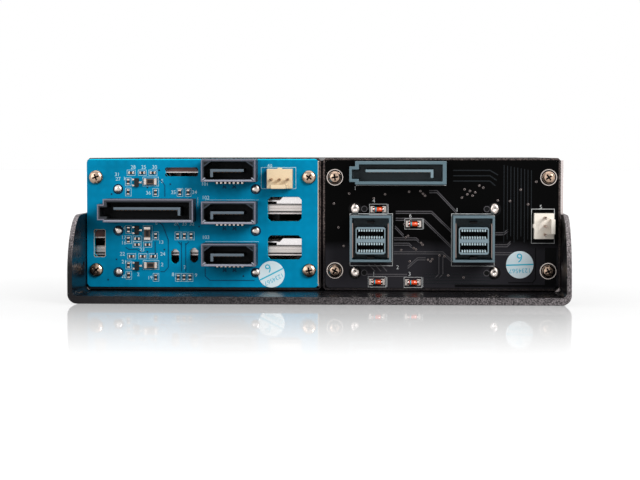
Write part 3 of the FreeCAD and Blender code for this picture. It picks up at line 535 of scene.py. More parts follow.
def stitched(mesh, rings, material=0, end_material=None):
    """Closed solid through rings of corners, each joined to the next."""
    rings = [[mesh.verts.new(corner) for corner in ring] for ring in rings]
    for first, second in zip(rings, rings[1:]):
        for step in range(len(first)):
            following = (step + 1) % len(first)
            corners = [first[step], first[following], second[following], second[step]]
            mesh.faces.new(corners).material_index = material
    for ring in (rings[0], rings[-1]):
        mesh.faces.new(ring).material_index = material if end_material is None else end_material


def prism(mesh, outline, span, material=0):
    """Solid whose outline is a list of (X, Z), from one Y to another."""
    stitched(mesh, [[(x, y, z) for x, z in outline] for y in span], material)


def block(mesh, x, y, z, material=0):
    """Box between three pairs of limits."""
    (left, right), (low, high) = sorted(x), sorted(z)
    prism(mesh, [(left, low), (right, low), (right, high), (left, high)], sorted(y), material)


def row(mesh, middle, pitch, count, width, y, z):
    """Evenly spaced blocks along X."""
    for x in spread(middle, pitch, count):
        block(mesh, about(x, width), y, z)


def turned(mesh, centre, profile, sides, material=0, axis="Y"):
    """Closed solid of revolution. The profile is a list of (radius, distance along the axis)."""
    rings = []
    for radius, along in profile:
        flat = [(radius * u, radius * v) for u, v in circle(sides)]
        spots = [(u, along, v) if axis == "Y" else (along, u, v) for u, v in flat]
        rings.append([Vector(spot) + Vector(centre) for spot in spots])
    stitched(mesh, rings, material)


def ribbon(mesh, points, width, span, material=0):
    """Flat strip of constant width along (X, Z) points, from one Y to another."""
    places = [Vector(point) for point in points]
    legs = [(end - start).normalized() for start, end in zip(places, places[1:])]
    low, high = span
    rings = []
    for spot, before, after in zip(places, legs[:1] + legs, legs + legs[-1:]):
        along = (before + after).normalized()
        stretch = 1 / max(0.5, along.dot(before))
        side = Vector((-along.y, along.x)) * (width / 2 * stretch)
        left, right = spot + side, spot - side
        corners = zip((left, left, right, right), (low, high, high, low))
        rings.append([(corner.x, y, corner.y) for corner, y in corners])
    stitched(mesh, rings, material)


def frame_line(mesh, x, z, width, span, material=0):
    """Rectangular outline of four strips."""
    (left, right), (low, high) = sorted(x), sorted(z)
    half = width / 2
    for level in (low, high):
        block(mesh, (left - half, right + half), span, about(level, width), material)
    for side in (left, right):
        block(mesh, about(side, width), span, (low + half, high - half), material)


def printed_outline(mesh, low, high, margin_x, margin_z, width):
    """Printed outline round a box, at its margins."""
    x, z = (low.x - margin_x, high.x + margin_x), (low.z - margin_z, high.z + margin_z)
    frame_line(mesh, x, z, width, print_span)


def solids_of(node):
    """Boxes, in millimetres, of the separate solids in a CAD node."""
    mesh = bmesh.new()
    mesh.from_mesh(nodes[node].data)
    bmesh.ops.remove_doubles(mesh, verts=mesh.verts, dist=0.001 * MM)
    seen, boxes = set(), []
    for vert in mesh.verts:
        if vert in seen:
            continue
        stack, group = [vert], []
        seen.add(vert)
        while stack:
            current = stack.pop()
            group.append(current.co / MM)
            for edge in current.link_edges:
                other = edge.other_vert(current)
                if other not in seen:
                    seen.add(other)
                    stack.append(other)
        boxes.append(tuple(
            Vector([pick(spot[axis] for spot in group) for axis in range(3)]) for pick in (min, max)
        ))
    mesh.free()
    return sorted(boxes, key=lambda pair: (round(pair[0].z, 2), round(pair[0].x, 2)))


def middles_of(node):
    """X and Z of the middle of each separate solid in a CAD node."""
    return [((low.x + high.x) / 2, (low.z + high.z) / 2) for low, high in solids_of(node)]


# ---- places
face_y = sata_high.y
rise = sata_low.z - 2.25     # heights on the boards count from 2.25 mm below their lower edges
sunk = face_y - 0.01         # foot of most of what lies on the boards
print_span = (face_y - 0.02, face_y + 0.05)
track_span = (face_y - 0.02, face_y + 0.04)
bare_span = (face_y - 0.02, face_y + 0.03)

resistor_boxes = solids_of("resistors")
capacitor_boxes = solids_of("capacitors")
diode_boxes = solids_of("diodes")
data_boxes = [limits(f"sata_data_socket_{index}") for index in (1, 2, 3)]
sas_boxes = [limits(f"mini_sas_socket_{index}") for index in (1, 2)]
sata_header_low, sata_header_high = limits("sata_fan_header")


# ---- softened sheet and mouldings
SAS_BLOCK_SETBACK = 0.9      # card block behind the mouth of its shroud
SAS_SLOT_DROP = 0.55         # middle of the two card slots below the middle of the socket


def within(spot, low, high, margin):
    """Whether a spot lies inside a box's outline as seen from behind, by a margin."""
    inside_x = low.x + margin < spot.x < high.x - margin
    return inside_x and low.z + margin < spot.z < high.z - margin


def lipped_sled(node):
    """Sled whose rear lip is polished, and whose rear faces in the recess beside it are painted
    dark as shade.
    """
    thing = softened(node, 0)
    rear = limits(node)[1].y
    recoloured(thing, "lip_steel", lambda spot, normal: normal.y > 0.9 and spot.y > rear - 0.1)
    # Painted shade on the rear faces of the recess beside the lip.
    recoloured(
        thing, "painted_shade_black", lambda spot, normal: normal.y > 0.9 and rear - 8 < spot.y < rear - 0.5
    )


def sas_socket(node):
    """Mini-SAS socket: a shroud with painted shade in its cavity, and a paler card block in it
    whose two slots are painted dark as shade.
    """
    thing = softened(node, 0.12)
    low, high = limits(node)
    middle = (low + high) / 2
    block_end = high.y - SAS_BLOCK_SETBACK

    def in_cavity(spot, normal):
        return within(spot, low, high, 0.5) and spot.y < high.y - 0.1

    def on_block(spot, normal):
        level = abs(spot.y - block_end) < 0.6
        return within(spot, low, high, 1.5) and normal.y > 0.3 and level

    def in_slot(spot, normal):
        beside = abs(spot.x - middle.x) < 4.25 and abs(spot.z - middle.z + SAS_SLOT_DROP) < 3.4
        return beside and low.y + 2.5 < spot.y < block_end - 0.6

    thing.data.materials[0] = paint["shroud"]
    # Painted shade in the cavity and in the two slots.
    recoloured(thing, "shaded_cavity_teal", in_cavity)
    recoloured(thing, "card_block", on_block)
    recoloured(thing, "painted_shade_black", in_slot)


def sata_socket(node):
    """Power or data socket with rounded edges, painted shade inside and a painted highlight on its
    tongue's end; the SATA power socket's rim face is darkened as painted shade.
    """
    thing = softened(node, 0.2)
    low, high = limits(node)
    mouth, tongue = high.y - 0.1, high.y - 1.2
    teal = node == "nvme_power_socket"

    def inside(spot, normal):
        tongue_end = normal.y > 0.5 and spot.y > tongue
        return within(spot, low, high, 0.6) and spot.y < mouth and not tongue_end

    def at_end(spot, normal):
        return within(spot, low, high, 1.1) and tongue < spot.y < mouth

    # Painted shade inside, and a painted highlight on the tongue's end.
    recoloured(thing, "teal_painted_shade" if teal else "shadowed", inside)
    if node == "sata_power_socket":
        recoloured(thing, "rim_shade", lambda spot, normal: normal.y > 0.9 and spot.y > mouth)
    recoloured(thing, "highlight_tongue_teal" if teal else "highlight_tongue_grey", at_end)


# Radius of the rounded edges of the nodes whose names end so.
ROUNDED = {"_bezel": 0.25, "_lever": 0.18, "_latch_button": 0.25, "_fan_header": 0.15}
softened("outer_tray", 0.18)
softened("front_frame", 0.35)
for name in nodes:
    for ending, width in ROUNDED.items():
        if name.endswith(ending):
            softened(name, width)
    if name.startswith("mini_sas"):
        sas_socket(name)
    elif name.endswith("power_socket") or "_data_socket_" in name:
        sata_socket(name)
    elif name.startswith("sata_tray") and name.endswith("_sled"):
        lipped_sled(name)


# ---- fasteners
# Turns of the screws' crosses, in radians.
SCREW_TURNS = (0.45, 1.1, 0.2, 0.75, 0.6, 0.15, 0.95, 0.35)


def recess_blade(upright):
    """Tapered blade that cuts one stroke of a screw's cross."""
    mesh = bmesh.new()
    rings = []
    for half_x, half_z, level in ((1.2, 0.2604, 1.8), (0.54, 0.189, 0.35)):
        corners = rectangle(half_x, half_z)
        rings.append([(b, level, a) if upright else (a, level, b) for a, b in corners])
    stitched(mesh, rings)
    bmesh.ops.recalc_face_normals(mesh, faces=mesh.faces)
    return mesh_object("blade", mesh)


def screw_mesh(radius):
    """One pan-head screw at the origin, its head towards +Y, with painted shade in its cross
    recess.
    """
    mesh = bmesh.new()
    profile = [(1.2, -2.9), (1.2, 0.0), (radius - 0.15, 0.0), (radius, 0.12), (radius, 0.55)]
    profile += [(radius - 0.1, 0.85), (radius - 0.35, 1.14), (1.35, 1.34), (0.8, 1.46), (0.3, 1.5)]
    turned(mesh, (0, 0, 0), profile, 40)
    bmesh.ops.recalc_face_normals(mesh, faces=mesh.faces)
    head = mesh_object("screw", mesh)
    cutters = [recess_blade(False), recess_blade(True)]
    for cutter in cutters:
        modifier = head.modifiers.new("recess", "BOOLEAN")
        modifier.operation = "DIFFERENCE"
        modifier.solver = "EXACT"
        modifier.object = cutter
    bpy.context.view_layer.update()
    evaluated = head.evaluated_get(bpy.context.evaluated_depsgraph_get())
    finished = bpy.data.meshes.new_from_object(evaluated)
    for thing in [head] + cutters:
        bpy.data.objects.remove(thing)
    for face in finished.polygons:
        spot = face.center
        if 0.2 < spot.y < 1.28 and math.hypot(spot.x, spot.z) < 1.25:
            face.material_index = 1
    return finished


wide_screw = screw_mesh(2.1)
narrow_screw = screw_mesh(1.88)


@drawn("nickel", "nickel", "painted_shade_black", stands_for=["board_screws"])
def board_screw_set(mesh):
    for (x, z), turn in zip(middles_of("board_screws"), SCREW_TURNS):
        before = len(mesh.verts)
        mesh.from_mesh(wide_screw if x > 0 else narrow_screw)
        mesh.verts.ensure_lookup_table()
        matrix = Matrix.Translation((x, face_y, z)) @ Matrix.Rotation(turn, 4, "Y")
        bmesh.ops.transform(mesh, matrix=matrix, verts=mesh.verts[before:])


@drawn("solder", "solder", smooth=True, stands_for=["sata_socket_pegs"])
def sata_peg_heads(mesh):
    profile = [(1.28, 0.0), (1.3, 0.22), (1.2, 0.48), (0.95, 0.68), (0.6, 0.77), (0.2, 0.8)]
    for x, z in middles_of("sata_socket_pegs"):
        turned(mesh, (x, face_y, z), profile, 24)


@drawn("solder", "solder", smooth=True, stands_for=["nvme_socket_pegs"])
def nvme_peg_heads(mesh):
    """Oblong solder caps with a dimple at the pin."""
    levels = ((0.98, 0.0), (1.0, 0.25), (0.9, 0.55), (0.66, 0.76), (0.34, 0.8), (0.2, 0.62))
    for x, z in middles_of("nvme_socket_pegs"):
        stitched(mesh, [
            [(x + 1.38 * scale * u, face_y + up, z + 1.8 * scale * v) for u, v in circle(24)]
            for scale, up in levels
        ])


@drawn("bright_steel", "edge_steel", "painted_shade_black")
def hem_painted_lines(mesh):
    """Painted highlight along the foot of each rolled shelf edge, with a band of painted dark
    reflection above it.
    """
    for index in (1, 2):
        low, high = limits(f"sata_divider_{index}")
        across, front = (low.x + 0.4, high.x - 0.2), high.y - 1.4
        block(mesh, across, (front, high.y + 0.02), (low.z + 0.02, low.z + 0.46), 0)
        block(mesh, across, (front, high.y + 0.01), (low.z + 0.5, low.z + 0.86), 1)


# Painted highlight: a bright strip on the edge of a sled's floor, in the recess beside its rear
# lip.
for index in (2, 3):
    sled = f"sata_tray_{index}_sled"
    low, high = limits(sled)
    y, z = (high.y - 5.8, high.y - 4.96), (low.z + 0.5, low.z + 0.92)
    piece(
        f"sled_edge_highlight_{index}", lambda mesh: block(mesh, (11.0, 18.5), y, z),
        "bright_steel", ["lip_steel"], body_of_node[sled],
    )


# ---- small parts on the boards
def ways(low, high):
    """A chip's limits along and across its length, and whether it stands upright."""
    across, up = (low.x, high.x), (low.z, high.z)
    upright = high.z - low.z > high.x - low.x
    return (up, across, True) if upright else (across, up, False)


def end_capped(mesh, low, high, cap, inset):
    """Chip with metal ends. Its long side is along X or Z."""
    (start, end), side, upright = ways(low, high)

    def put(along, across, level, material):
        x, z = (across, along) if upright else (along, across)
        block(mesh, x, level, z, material)

    put((start + cap, end - cap), (side[0] + inset, side[1] - inset), (face_y, high.y - 0.05), 0)
    for metal in ((start, start + cap), (end - cap, end)):
        put(metal, side, (face_y, high.y), 1)


@drawn("resistor", "resistor", "solder", bevel=0.07, stands_for=["resistors"])
def resistor_chips(mesh):
    for low, high in resistor_boxes:
        end_capped(mesh, low, high, 0.45, 0.03)


@drawn("capacitor", "capacitor", "solder", "transistor", bevel=0.1, stands_for=["capacitors"])
def capacitor_chips(mesh):
    for low, high in capacitor_boxes:
        end_capped(mesh, low, high, 0.75, 0.08)
        middle = (low + high) / 2
        width, height = (1.0, 1.7) if ways(low, high)[2] else (1.7, 1.0)
        top = (high.y - 0.06, high.y - 0.01)
        block(mesh, about(middle.x, width), top, about(middle.z, height), 2)


@drawn("solder", "solder", bevel=0.03)
def solder_wedges(mesh):
    """Solder beyond the ends of the chips, on their pads."""
    for low, high in resistor_boxes + capacitor_boxes:
        ends, side, upright = ways(low, high)
        top = high.y * 0.6 + face_y * 0.4
        for end, direction in zip(ends, (-1, 1)):
            outer = end + direction * 0.22
            profile = ((end, face_y), (outer, face_y), (outer, face_y + 0.06), (end, top))
            stitched(mesh, [
                [(across, up, along) if upright else (along, up, across) for along, up in profile]
                for across in (side[0] - 0.05, side[1] + 0.05)
            ])


@drawn("transistor", "transistor", "solder", bevel=0.06, stands_for=["transistors"])
def transistor_packages(mesh):
    """Moulded body and three bent legs."""
    for low, high in solids_of("transistors"):
        middle = (low + high) / 2
        body_x, body_z = (low.x + 0.04, high.x - 0.04), (low.z + 0.04, high.z - 0.04)
        block(mesh, body_x, (face_y + 0.1, high.y), body_z, 0)
        for edge, side, levels in ((high.x, 1, (0.9, -0.9)), (low.x, -1, (0.0,))):
            for level in levels:
                z = middle.z + level
                for start, end, bottom, top, width in (
                    (-0.1, 0.28, 0.45, 0.6, 0.42),
                    (0.18, 0.3, 0.05, 0.6, 0.42),
                    (0.18, 0.75, 0.02, 0.17, 0.6),
                ):
                    x = (edge + side * start, edge + side * end)
                    block(mesh, x, (face_y + bottom, face_y + top), about(z, width), 1)


@drawn("diode_glass", "diode_glass", "band_teal", "solder", smooth=True, stands_for=["diodes"])
def glass_diodes(mesh):
    for low, high in diode_boxes:
        middle = (low + high) / 2
        centre = (0, middle.y, middle.z)
        radius = (high.z - low.z) / 2 - 0.06
        neck, band = radius * 0.4, radius + 0.015
        thin, thick = radius - 0.02, radius + 0.03
        length = high.x - low.x
        glass = [(neck, low.x + 0.3), (radius, low.x + 0.55)]
        glass += [(radius, high.x - 0.55), (neck, high.x - 0.3)]
        turned(mesh, centre, glass, 20, 0, "X")
        stripe = [(band, high.x - length * 0.36), (band, high.x - length * 0.22)]
        turned(mesh, centre, stripe, 20, 1, "X")
        for start, end in ((low.x, low.x + 0.5), (high.x - 0.5, high.x)):
            cap = [(thin, start), (thick, start + 0.1), (thick, end - 0.1), (thin, end)]
            turned(mesh, centre, cap, 20, 2, "X")


@drawn("solder", "solder", bevel=0.04)
def diode_pads(mesh):
    for low, high in diode_boxes:
        z = about((low.z + high.z) / 2, 1.9)
        for x in (low.x - 0.05, high.x + 0.05):
            block(mesh, about(x, 1.15), (sunk, face_y + 0.12), z)


@drawn("pin_metal", "pin_metal", "solder", stands_for=["fan_header_pins"])
def header_pins(mesh):
    """Square pins with tapered ends, which are bright on the NVMe board."""
    for low, high in solids_of("fan_header_pins"):
        middle = (low + high) / 2
        half = (high.x - low.x) / 2
        stitched(mesh, [
            [(middle.x + a, level, middle.z + b) for a, b in rectangle(size, size)]
            for size, level in ((half, sunk), (half, high.y - 0.6), (half * 0.5, high.y))
        ], 0, 0 if middle.x > 0 else 1)


# ---- contacts in the sockets
CONTACT_PITCH = 1.27         # SATA contacts and feet
POWER_MIDDLE = 14.85         # middle power contact from its socket's +X end
contact_span = (face_y + 1.5, face_y + 7.3)


@drawn("pin_metal", "contact_metal", bevel=0.03)
def power_contacts(mesh):
    """Fifteen contacts under each power socket's tongue."""
    for node in ("sata_power_socket", "nvme_power_socket"):
        low, high = limits(node)
        z = (low.z + 3.505, low.z + 3.645)
        row(mesh, high.x - POWER_MIDDLE, CONTACT_PITCH, 15, 0.7, contact_span, z)


@drawn("pin_metal", "contact_metal", bevel=0.03)
def data_contacts(mesh):
    for low, high in data_boxes:
        middle = (low + high) / 2
        z = (middle.z - 0.57, middle.z - 0.43)
        row(mesh, middle.x + 0.45, CONTACT_PITCH, 7, 0.7, contact_span, z)


@drawn("blue_board", "painted_shade_black")
def data_foot_gaps(mesh):
    """Painted shade in the gaps between the feet, under the sockets' lower edges."""
    for low, high in data_boxes:
        x = about((low.x + high.x) / 2 + 0.4, 9.0)
        block(mesh, x, (sunk, face_y + 0.03), (low.z - 0.7, low.z + 0.3))


@drawn("solder", "solder", bevel=0.12)
def data_feet(mesh):
    """Soldered feet in a row below each data socket."""
    for low, high in data_boxes:
        middle, z = (low.x + high.x) / 2 + 0.4, (low.z - 0.82, low.z + 0.25)
        row(mesh, middle, CONTACT_PITCH, 7, 0.62, (sunk, face_y + 0.35), z)


@drawn("dark_socket", "highlight_grey", bevel=0.05)
def data_socket_highlight_lips(mesh):
    """Painted highlights along the lower walls of the data sockets."""
    for low, high in data_boxes:
        span = (high.y - 0.1, high.y + 0.02)
        block(mesh, (low.x + 1.1, high.x - 0.9), span, (low.z + 0.2, low.z + 0.62))


@drawn("dark_socket", "shadowed")
def data_socket_pockets(mesh):
    """Flat dark patches of painted shade for small pockets between the outer walls and the slanted
    inner corners of the data sockets.
    """
    for low, high in data_boxes:
        top = high.z - 0.85
        for x, side in ((low.x + 0.85, 1), (high.x - 0.85, -1)):
            outline = ((x, top), (x + side * 1.35, top), (x, top - 1.0))
            prism(mesh, outline, (high.y - 0.2, high.y + 0.01))


@drawn("dark_socket", "highlight_edge_grey", "highlight_grey")
def socket_highlight_rims(mesh):
    """Painted highlights along the outer edges on the faces of the dark sockets."""
    inset = 0.2
    low, high = limits("sata_power_socket")
    left, right, bottom, top = low.x + inset, high.x - inset, low.z + inset, high.z - inset
    step = right - 1.72
    step_top, step_low = top - 1.6, bottom + 0.61
    outline = [
        (left, top), (step, top), (step, step_top), (right, step_top),
        (right, step_low), (step, step_low), (step, bottom), (left, bottom), (left, top),
    ]
    span = (high.y - 0.1, high.y + 0.015)
    ribbon(mesh, outline, 0.36, span, 0)
    lip = (low.z + 0.32, low.z + 0.66)
    block(mesh, (low.x + 0.5, high.x - 2.02), (high.y - 0.1, high.y + 0.02), lip, 1)
    for low, high in data_boxes:
        x, z = (low.x + inset, high.x - inset), (low.z + inset, high.z - inset)
        frame_line(mesh, x, z, 0.34, span, 0)
        for edge, side in ((low.x, 1), (high.x, -1)):
            corner = ((edge + side * 0.4, low.z + 0.55), (edge + side * 1.2, low.z + 1.2))
            ribbon(mesh, corner, 0.34, span, 1)


# ---- inside the mini-SAS sockets
SAS_PITCH = 0.75             # mini-SAS HD contacts
SAS_SLOT_SPACING = 4.0
SAS_SLOT_HALF = 1.3          # half the height of a card slot


def card_slot_edges():
    """Middle X, end of the card block, and Z and side of each long edge of each card slot."""
    for low, high in sas_boxes:
        middle = (low + high) / 2
        top = high.y - SAS_BLOCK_SETBACK
        for slot_z in spread(middle.z - SAS_SLOT_DROP, SAS_SLOT_SPACING, 2):
            for side in (-1, 1):
                yield middle.x, top, slot_z + side * SAS_SLOT_HALF, side


@drawn("teal_socket", "pale_teal", bevel=0.05)
def sas_combs(mesh):
    """Teeth between the contacts along both edges of both card slots."""
    for middle, top, edge, side in card_slot_edges():
        z = (edge + side * 0.025, edge - side * 0.595)
        row(mesh, middle, SAS_PITCH, 10, 0.38, (top - 4.0, top - 0.02), z)


@drawn("inner_socket", "painted_shade_black")
def sas_channels(mesh):
    """Painted shade in the mouths of the contacts' channels, in the block's face between the teeth.
    """
    for middle, top, edge, side in card_slot_edges():
        z = (edge, edge + side * 0.2)
        row(mesh, middle, SAS_PITCH, 9, 0.34, (top - 0.4, top + 0.02), z)


@drawn("pin_metal", "contact_metal")
def sas_contacts(mesh):
    for middle, top, edge, side in card_slot_edges():
        z = (edge, edge - side * 0.2)
        row(mesh, middle, SAS_PITCH, 9, 0.26, (top - 5.9, top - 2.2), z)


@drawn("bright_steel", "dull_metal", bevel=0.08)
def sas_side_springs(mesh):
    """Bright side springs inside the shroud."""
    for low, high in sas_boxes:
        middle = (low + high) / 2
        for side in (-1, 1):
            inner = middle.x + side * 5.45
            x = (inner, inner - side * 0.3)
            block(mesh, x, (high.y - 7.5, high.y - 0.35), about(middle.z - 0.5, 10.2))


@drawn("inner_socket", "painted_shade_black")
def sas_latch_slots(mesh):
    """Painted shade in the latch pockets above and below the card block, from the shroud's walls.
    """
    for low, high in sas_boxes:
        x = about((low.x + high.x) / 2, 2.1)
        for z in (high.z - 2.0, low.z + 1.2):
            block(mesh, x, (high.y - 7.5, high.y - 1.6), about(z, 0.62))


# ---- print and copper, SATA board
def ring_and_hole(mesh, x, z, ring, hole, sides, hole_sides):
    """Flat ring on a board, as a disc with a dark disc of painted shade on it for the hole. Both
    are turned profiles.
    """
    turned(mesh, (x, sunk, z), ring, sides, 0)
    turned(mesh, (x, face_y, z), hole, hole_sides, 1)


def vias(mesh, spots, radius):
    """Small rings, each at an X and a height on the board."""
    ring = [(radius, 0.0), (radius, 0.05), (radius * 0.8, 0.07)]
    hole = [(radius * 0.5, 0.0), (radius * 0.5, 0.075)]
    for x, height in spots:
        ring_and_hole(mesh, x, height + rise, ring, hole, 14, 10)


def tracks(mesh, runs, width, offsets=(0,)):
    """Copper along runs of (X, height on the board), once at each offset in height."""
    for run in runs:
        for offset in offsets:
            ribbon(mesh, [(x, z + rise + offset) for x, z in run], width, track_span)


SATA_LINE = 0.1
SATA_RUNS = (
    ((49.6, 35.2), (48.4, 34.2), (47.6, 33.0), (47.6, 29.6)),
    ((49.3, 21.8), (48.3, 21.0), (47.3, 18.4), (46.6, 16.6), (46.6, 8.2), (47.8, 6.9), (49.0, 6.9)),
    ((42.6, 16.0), (42.6, 6.9)),
    ((41.3, 15.6), (41.3, 6.9)),
    ((40.3, 16.0), (41.3, 15.0)),
    ((43.6, 16.0), (42.6, 15.0)),
    ((50.6, 16.0), (50.6, 12.6)),
    ((44.0, 21.4), (43.2, 20.4), (43.2, 19.6)),
    ((59.6, 14.2), (58.6, 13.6), (56.2, 13.6), (54.8, 12.8)),
    ((20.4, 4.3), (34.0, 4.3), (35.4, 5.6), (35.4, 8.2)),
)
SATA_VIAS = (
    (52.9, 32.4), (49.3, 37.6), (45.9, 33.4), (49.4, 22.0), (47.6, 22.9), (50.5, 12.4),
    (53.0, 12.9), (63.8, 30.4), (23.8, 5.6), (62.4, 10.6), (47.8, 13.6), (37.2, 20.6),
    (65.0, 4.4), (46.6, 26.8),
)


@drawn("blue_board", "print_white")
def sata_print(mesh):
    """White outlines round the parts on the SATA board."""
    for low, high in resistor_boxes + capacitor_boxes:
        printed_outline(mesh, low, high, 0.45, 0.4, SATA_LINE)
    low, high = sata_header_low, sata_header_high
    x, z = (low.x - 0.9, high.x + 1.9), (low.z - 0.1, high.z + 0.1)
    frame_line(mesh, x, z, SATA_LINE * 1.2, print_span)
    low, high = limits("sata_power_socket")
    block(mesh, about(low.x - 0.45, SATA_LINE), print_span, (high.z - 2.6, high.z + 0.35))
    for low, high in data_boxes[:2]:
        block(mesh, (low.x - 0.3, high.x - 0.3), print_span, (high.z + 0.25, high.z + 0.33))


@drawn("blue_board", "dark_band")
def sata_header_band(mesh):
    x = (sata_header_high.x + 0.2, sata_header_high.x + 1.1)
    block(mesh, x, track_span, (sata_header_low.z, sata_header_high.z))


@drawn("blue_board", "blue_track")
def sata_tracks(mesh):
    """Copper tracks that show through the mask."""
    tracks(mesh, SATA_RUNS, 0.32)


@drawn("blue_board", "blue_track", "painted_shade_black")
def sata_vias(mesh):
    vias(mesh, SATA_VIAS, 0.3)


@drawn("blue_board", "blue_track")
def data_socket_marks(mesh):
    """Short dark pairs of copper below each data socket's feet."""
    for low, high in data_boxes:
        middle, top = (low.x + high.x) / 2, low.z - 1.15
        for x in (middle + 2.0, middle - 1.0):
            for side in (-0.45, 0.45):
                run = ((x + side, top), (x + side * 0.3, top - 0.45), (x + side * 1.2, top - 1.0))
                ribbon(mesh, run, 0.42, track_span)


# ---- print and copper, NVMe board
NVME_LINE = 0.14
NVME_PAIRS = (
    ((-22.2, 25.0), (-33.0, 25.0), (-39.3, 18.9)),
    ((-22.2, 22.9), (-30.4, 22.9), (-38.9, 14.6)),
    ((-32.2, 31.2), (-34.6, 31.2), (-40.6, 24.8)),
    ((-22.0, 20.6), (-24.6, 17.9)),
    ((-21.6, 17.0), (-28.4, 17.0), (-29.2, 16.2)),
    ((-21.6, 15.4), (-26.2, 15.4), (-27.0, 14.6)),
    ((-21.6, 12.8), (-36.4, 12.8), (-38.8, 10.6)),
    ((-13.6, 6.0), (-25.6, 6.0)),
    ((-25.8, 8.4), (-28.8, 11.0), (-31.2, 11.0)),
    ((-52.0, 18.6), (-54.6, 18.6), (-55.8, 19.6)),
    ((-52.0, 15.0), (-55.6, 15.0), (-56.6, 16.0)),
    ((-52.0, 12.6), (-57.6, 12.6)),
)
NVME_VIAS = (
    (-25.2, 17.4), (-25.9, 17.9), (-29.8, 15.8), (-30.3, 15.2), (-27.6, 14.2), (-28.3, 13.8),
    (-23.8, 13.6), (-31.9, 10.7), (-32.7, 10.2), (-33.2, 10.9), (-29.6, 31.4), (-30.4, 30.6),
    (-31.0, 30.0), (-26.2, 31.2), (-43.6, 30.4), (-44.4, 31.4), (-45.2, 30.0), (-46.0, 31.0),
    (-42.8, 31.9), (-42.0, 29.4), (-47.2, 33.0), (-48.4, 32.4), (-35.4, 12.0), (-36.9, 11.8),
    (-26.4, 10.2), (-24.8, 21.4), (-26.6, 22.6), (-56.4, 28.4), (-59.6, 31.8), (-61.8, 27.4),
    (-64.2, 34.2), (-38.0, 6.0), (-42.6, 5.4), (-52.8, 28.6), (-5.0, 20.4), (-6.6, 14.8),
    (-3.6, 27.6), (-8.2, 30.6), (-15.6, 29.2), (-19.0, 30.4),
)


@drawn("black_board", "print_grey")
def nvme_print(mesh):
    for low, high in diode_boxes:
        printed_outline(mesh, low, high, 0.95, 0.8, NVME_LINE * 0.9)
        block(mesh, (low.x - 1.35, low.x - 1.2), print_span, (low.z - 0.75, high.z + 0.75))
    low, high = limits("nvme_fan_header")
    x, z = (low.x - 0.3, high.x + 0.3), (low.z - 1.4, high.z + 1.2)
    frame_line(mesh, x, z, NVME_LINE * 1.2, print_span)
    low, high = limits("nvme_power_socket")
    block(mesh, (low.x, high.x - 1.7), print_span, (low.z - 0.42, low.z - 0.25))
    for low, high in sas_boxes:
        printed_outline(mesh, low, high, 0.25, 0.3, NVME_LINE * 1.2)
        left, right = low.x - 0.25, high.x + 0.25
        block(mesh, (left, right), print_span, (low.z - 1.75, low.z - 1.6))
        for edge in (left, right):
            block(mesh, about(edge, 0.15), print_span, (low.z - 1.75, low.z - 0.2))


@drawn("black_board", "black_track")
def nvme_tracks(mesh):
    """Pairs of tracks, two lone ones, and three short ones in a row."""
    tracks(mesh, NVME_PAIRS, 0.26, (-0.31, 0.31))
    tracks(mesh, [((x, 11.6), (x, 6.4), (x + 1.2, 5.2)) for x in (-35.2, -36.4)], 0.26)
    tracks(mesh, [((x, 9.4), (x - 2.0, 7.2)) for x in (-14.0, -15.8, -17.6)], 0.3)


@drawn("black_board", "bare_black")
def nvme_pour_borders(mesh):
    """Bare black margins of the copper area at the NVMe board's lower -X corner."""
    block(mesh, (-70.4, -66.9), bare_span, (3.5, 15.4))
    block(mesh, (-66.95, -40.0), bare_span, (3.5, 4.3))
    border = ((-64.1, 15.4), (-64.1, 6.0), (-63.2, 4.9), (-56.0, 4.9))
    ribbon(mesh, border, 0.3, bare_span)


@drawn("black_board", "faint_track")
def nvme_faint_tracks(mesh):
    """Tracks that the mask all but hides: a bundle beside the fan header, and some long runs."""
    for step in range(9):
        x = -54.6 - 1.02 * step
        tracks(mesh, [((x, 39.2 - 0.2 * step), (x, 16.0 + 0.9 * (step % 3)))], 0.24)
    for step in range(3):
        z = 34.4 + 1.6 * step
        tracks(mesh, [((-39.4, z), (-50.4, z), (-52.0 - 0.4 * step, z - 1.4))], 0.34)
    for step in range(4):
        z = 3.6 + 0.9 * step
        tracks(mesh, [((-31.0, z), (-50.0 - step, z))], 0.24)


@drawn("black_board", "via_metal", "painted_shade_black")
def nvme_vias(mesh):
    vias(mesh, NVME_VIAS, 0.34)


@drawn("black_board", "black_track", "painted_shade_black")
def locating_holes(mesh):
    """Locating holes beside the mini-SAS sockets' solder pegs."""
    ring = [(0.95, 0.0), (0.95, 0.05), (0.82, 0.06)]
    for x in (-12.75, -49.5):
        for z in (rise + 26.0, rise + 6.75):
            ring_and_hole(mesh, x, z, ring, [(0.74, 0.0), (0.74, 0.06)], 24, 24)


@drawn("black_board", "painted_shade_black")
def nvme_board_gap(mesh):
    """Painted shade in the gap between the NVMe board's edges and its case."""
    half = 0.07
    x = (nvme_low.x - half, nvme_high.x + half)
    z = (nvme_low.z - half, nvme_high.z + half)
    frame_line(mesh, x, z, 0.2, (face_y - 1.2, face_y - 0.4))


@drawn("solder", "solder", "painted_shade_black")
def screw_pads(mesh):
    """Thin bare rings round the screws of the NVMe board."""
    ring = [(2.48, 0.0), (2.48, 0.05), (2.4, 0.06)]
    for x, z in middles_of("board_screws"):
        if x < 0:
            ring_and_hole(mesh, x, z, ring, [(2.24, 0.0), (2.24, 0.07)], 40, 40)


@drawn("inner_socket", "navy", "painted_shade_black")
def peg_rings(mesh):
    """Dark rings of painted shade round the pegs' feet."""
    for material, node, radius in ((0, "sata_socket_pegs", 1.55), (1, "nvme_socket_pegs", 1.95)):
        for x, z in middles_of(node):
            turned(mesh, (x, sunk, z), [(radius, 0.0), (radius, 0.04)], 32, material)


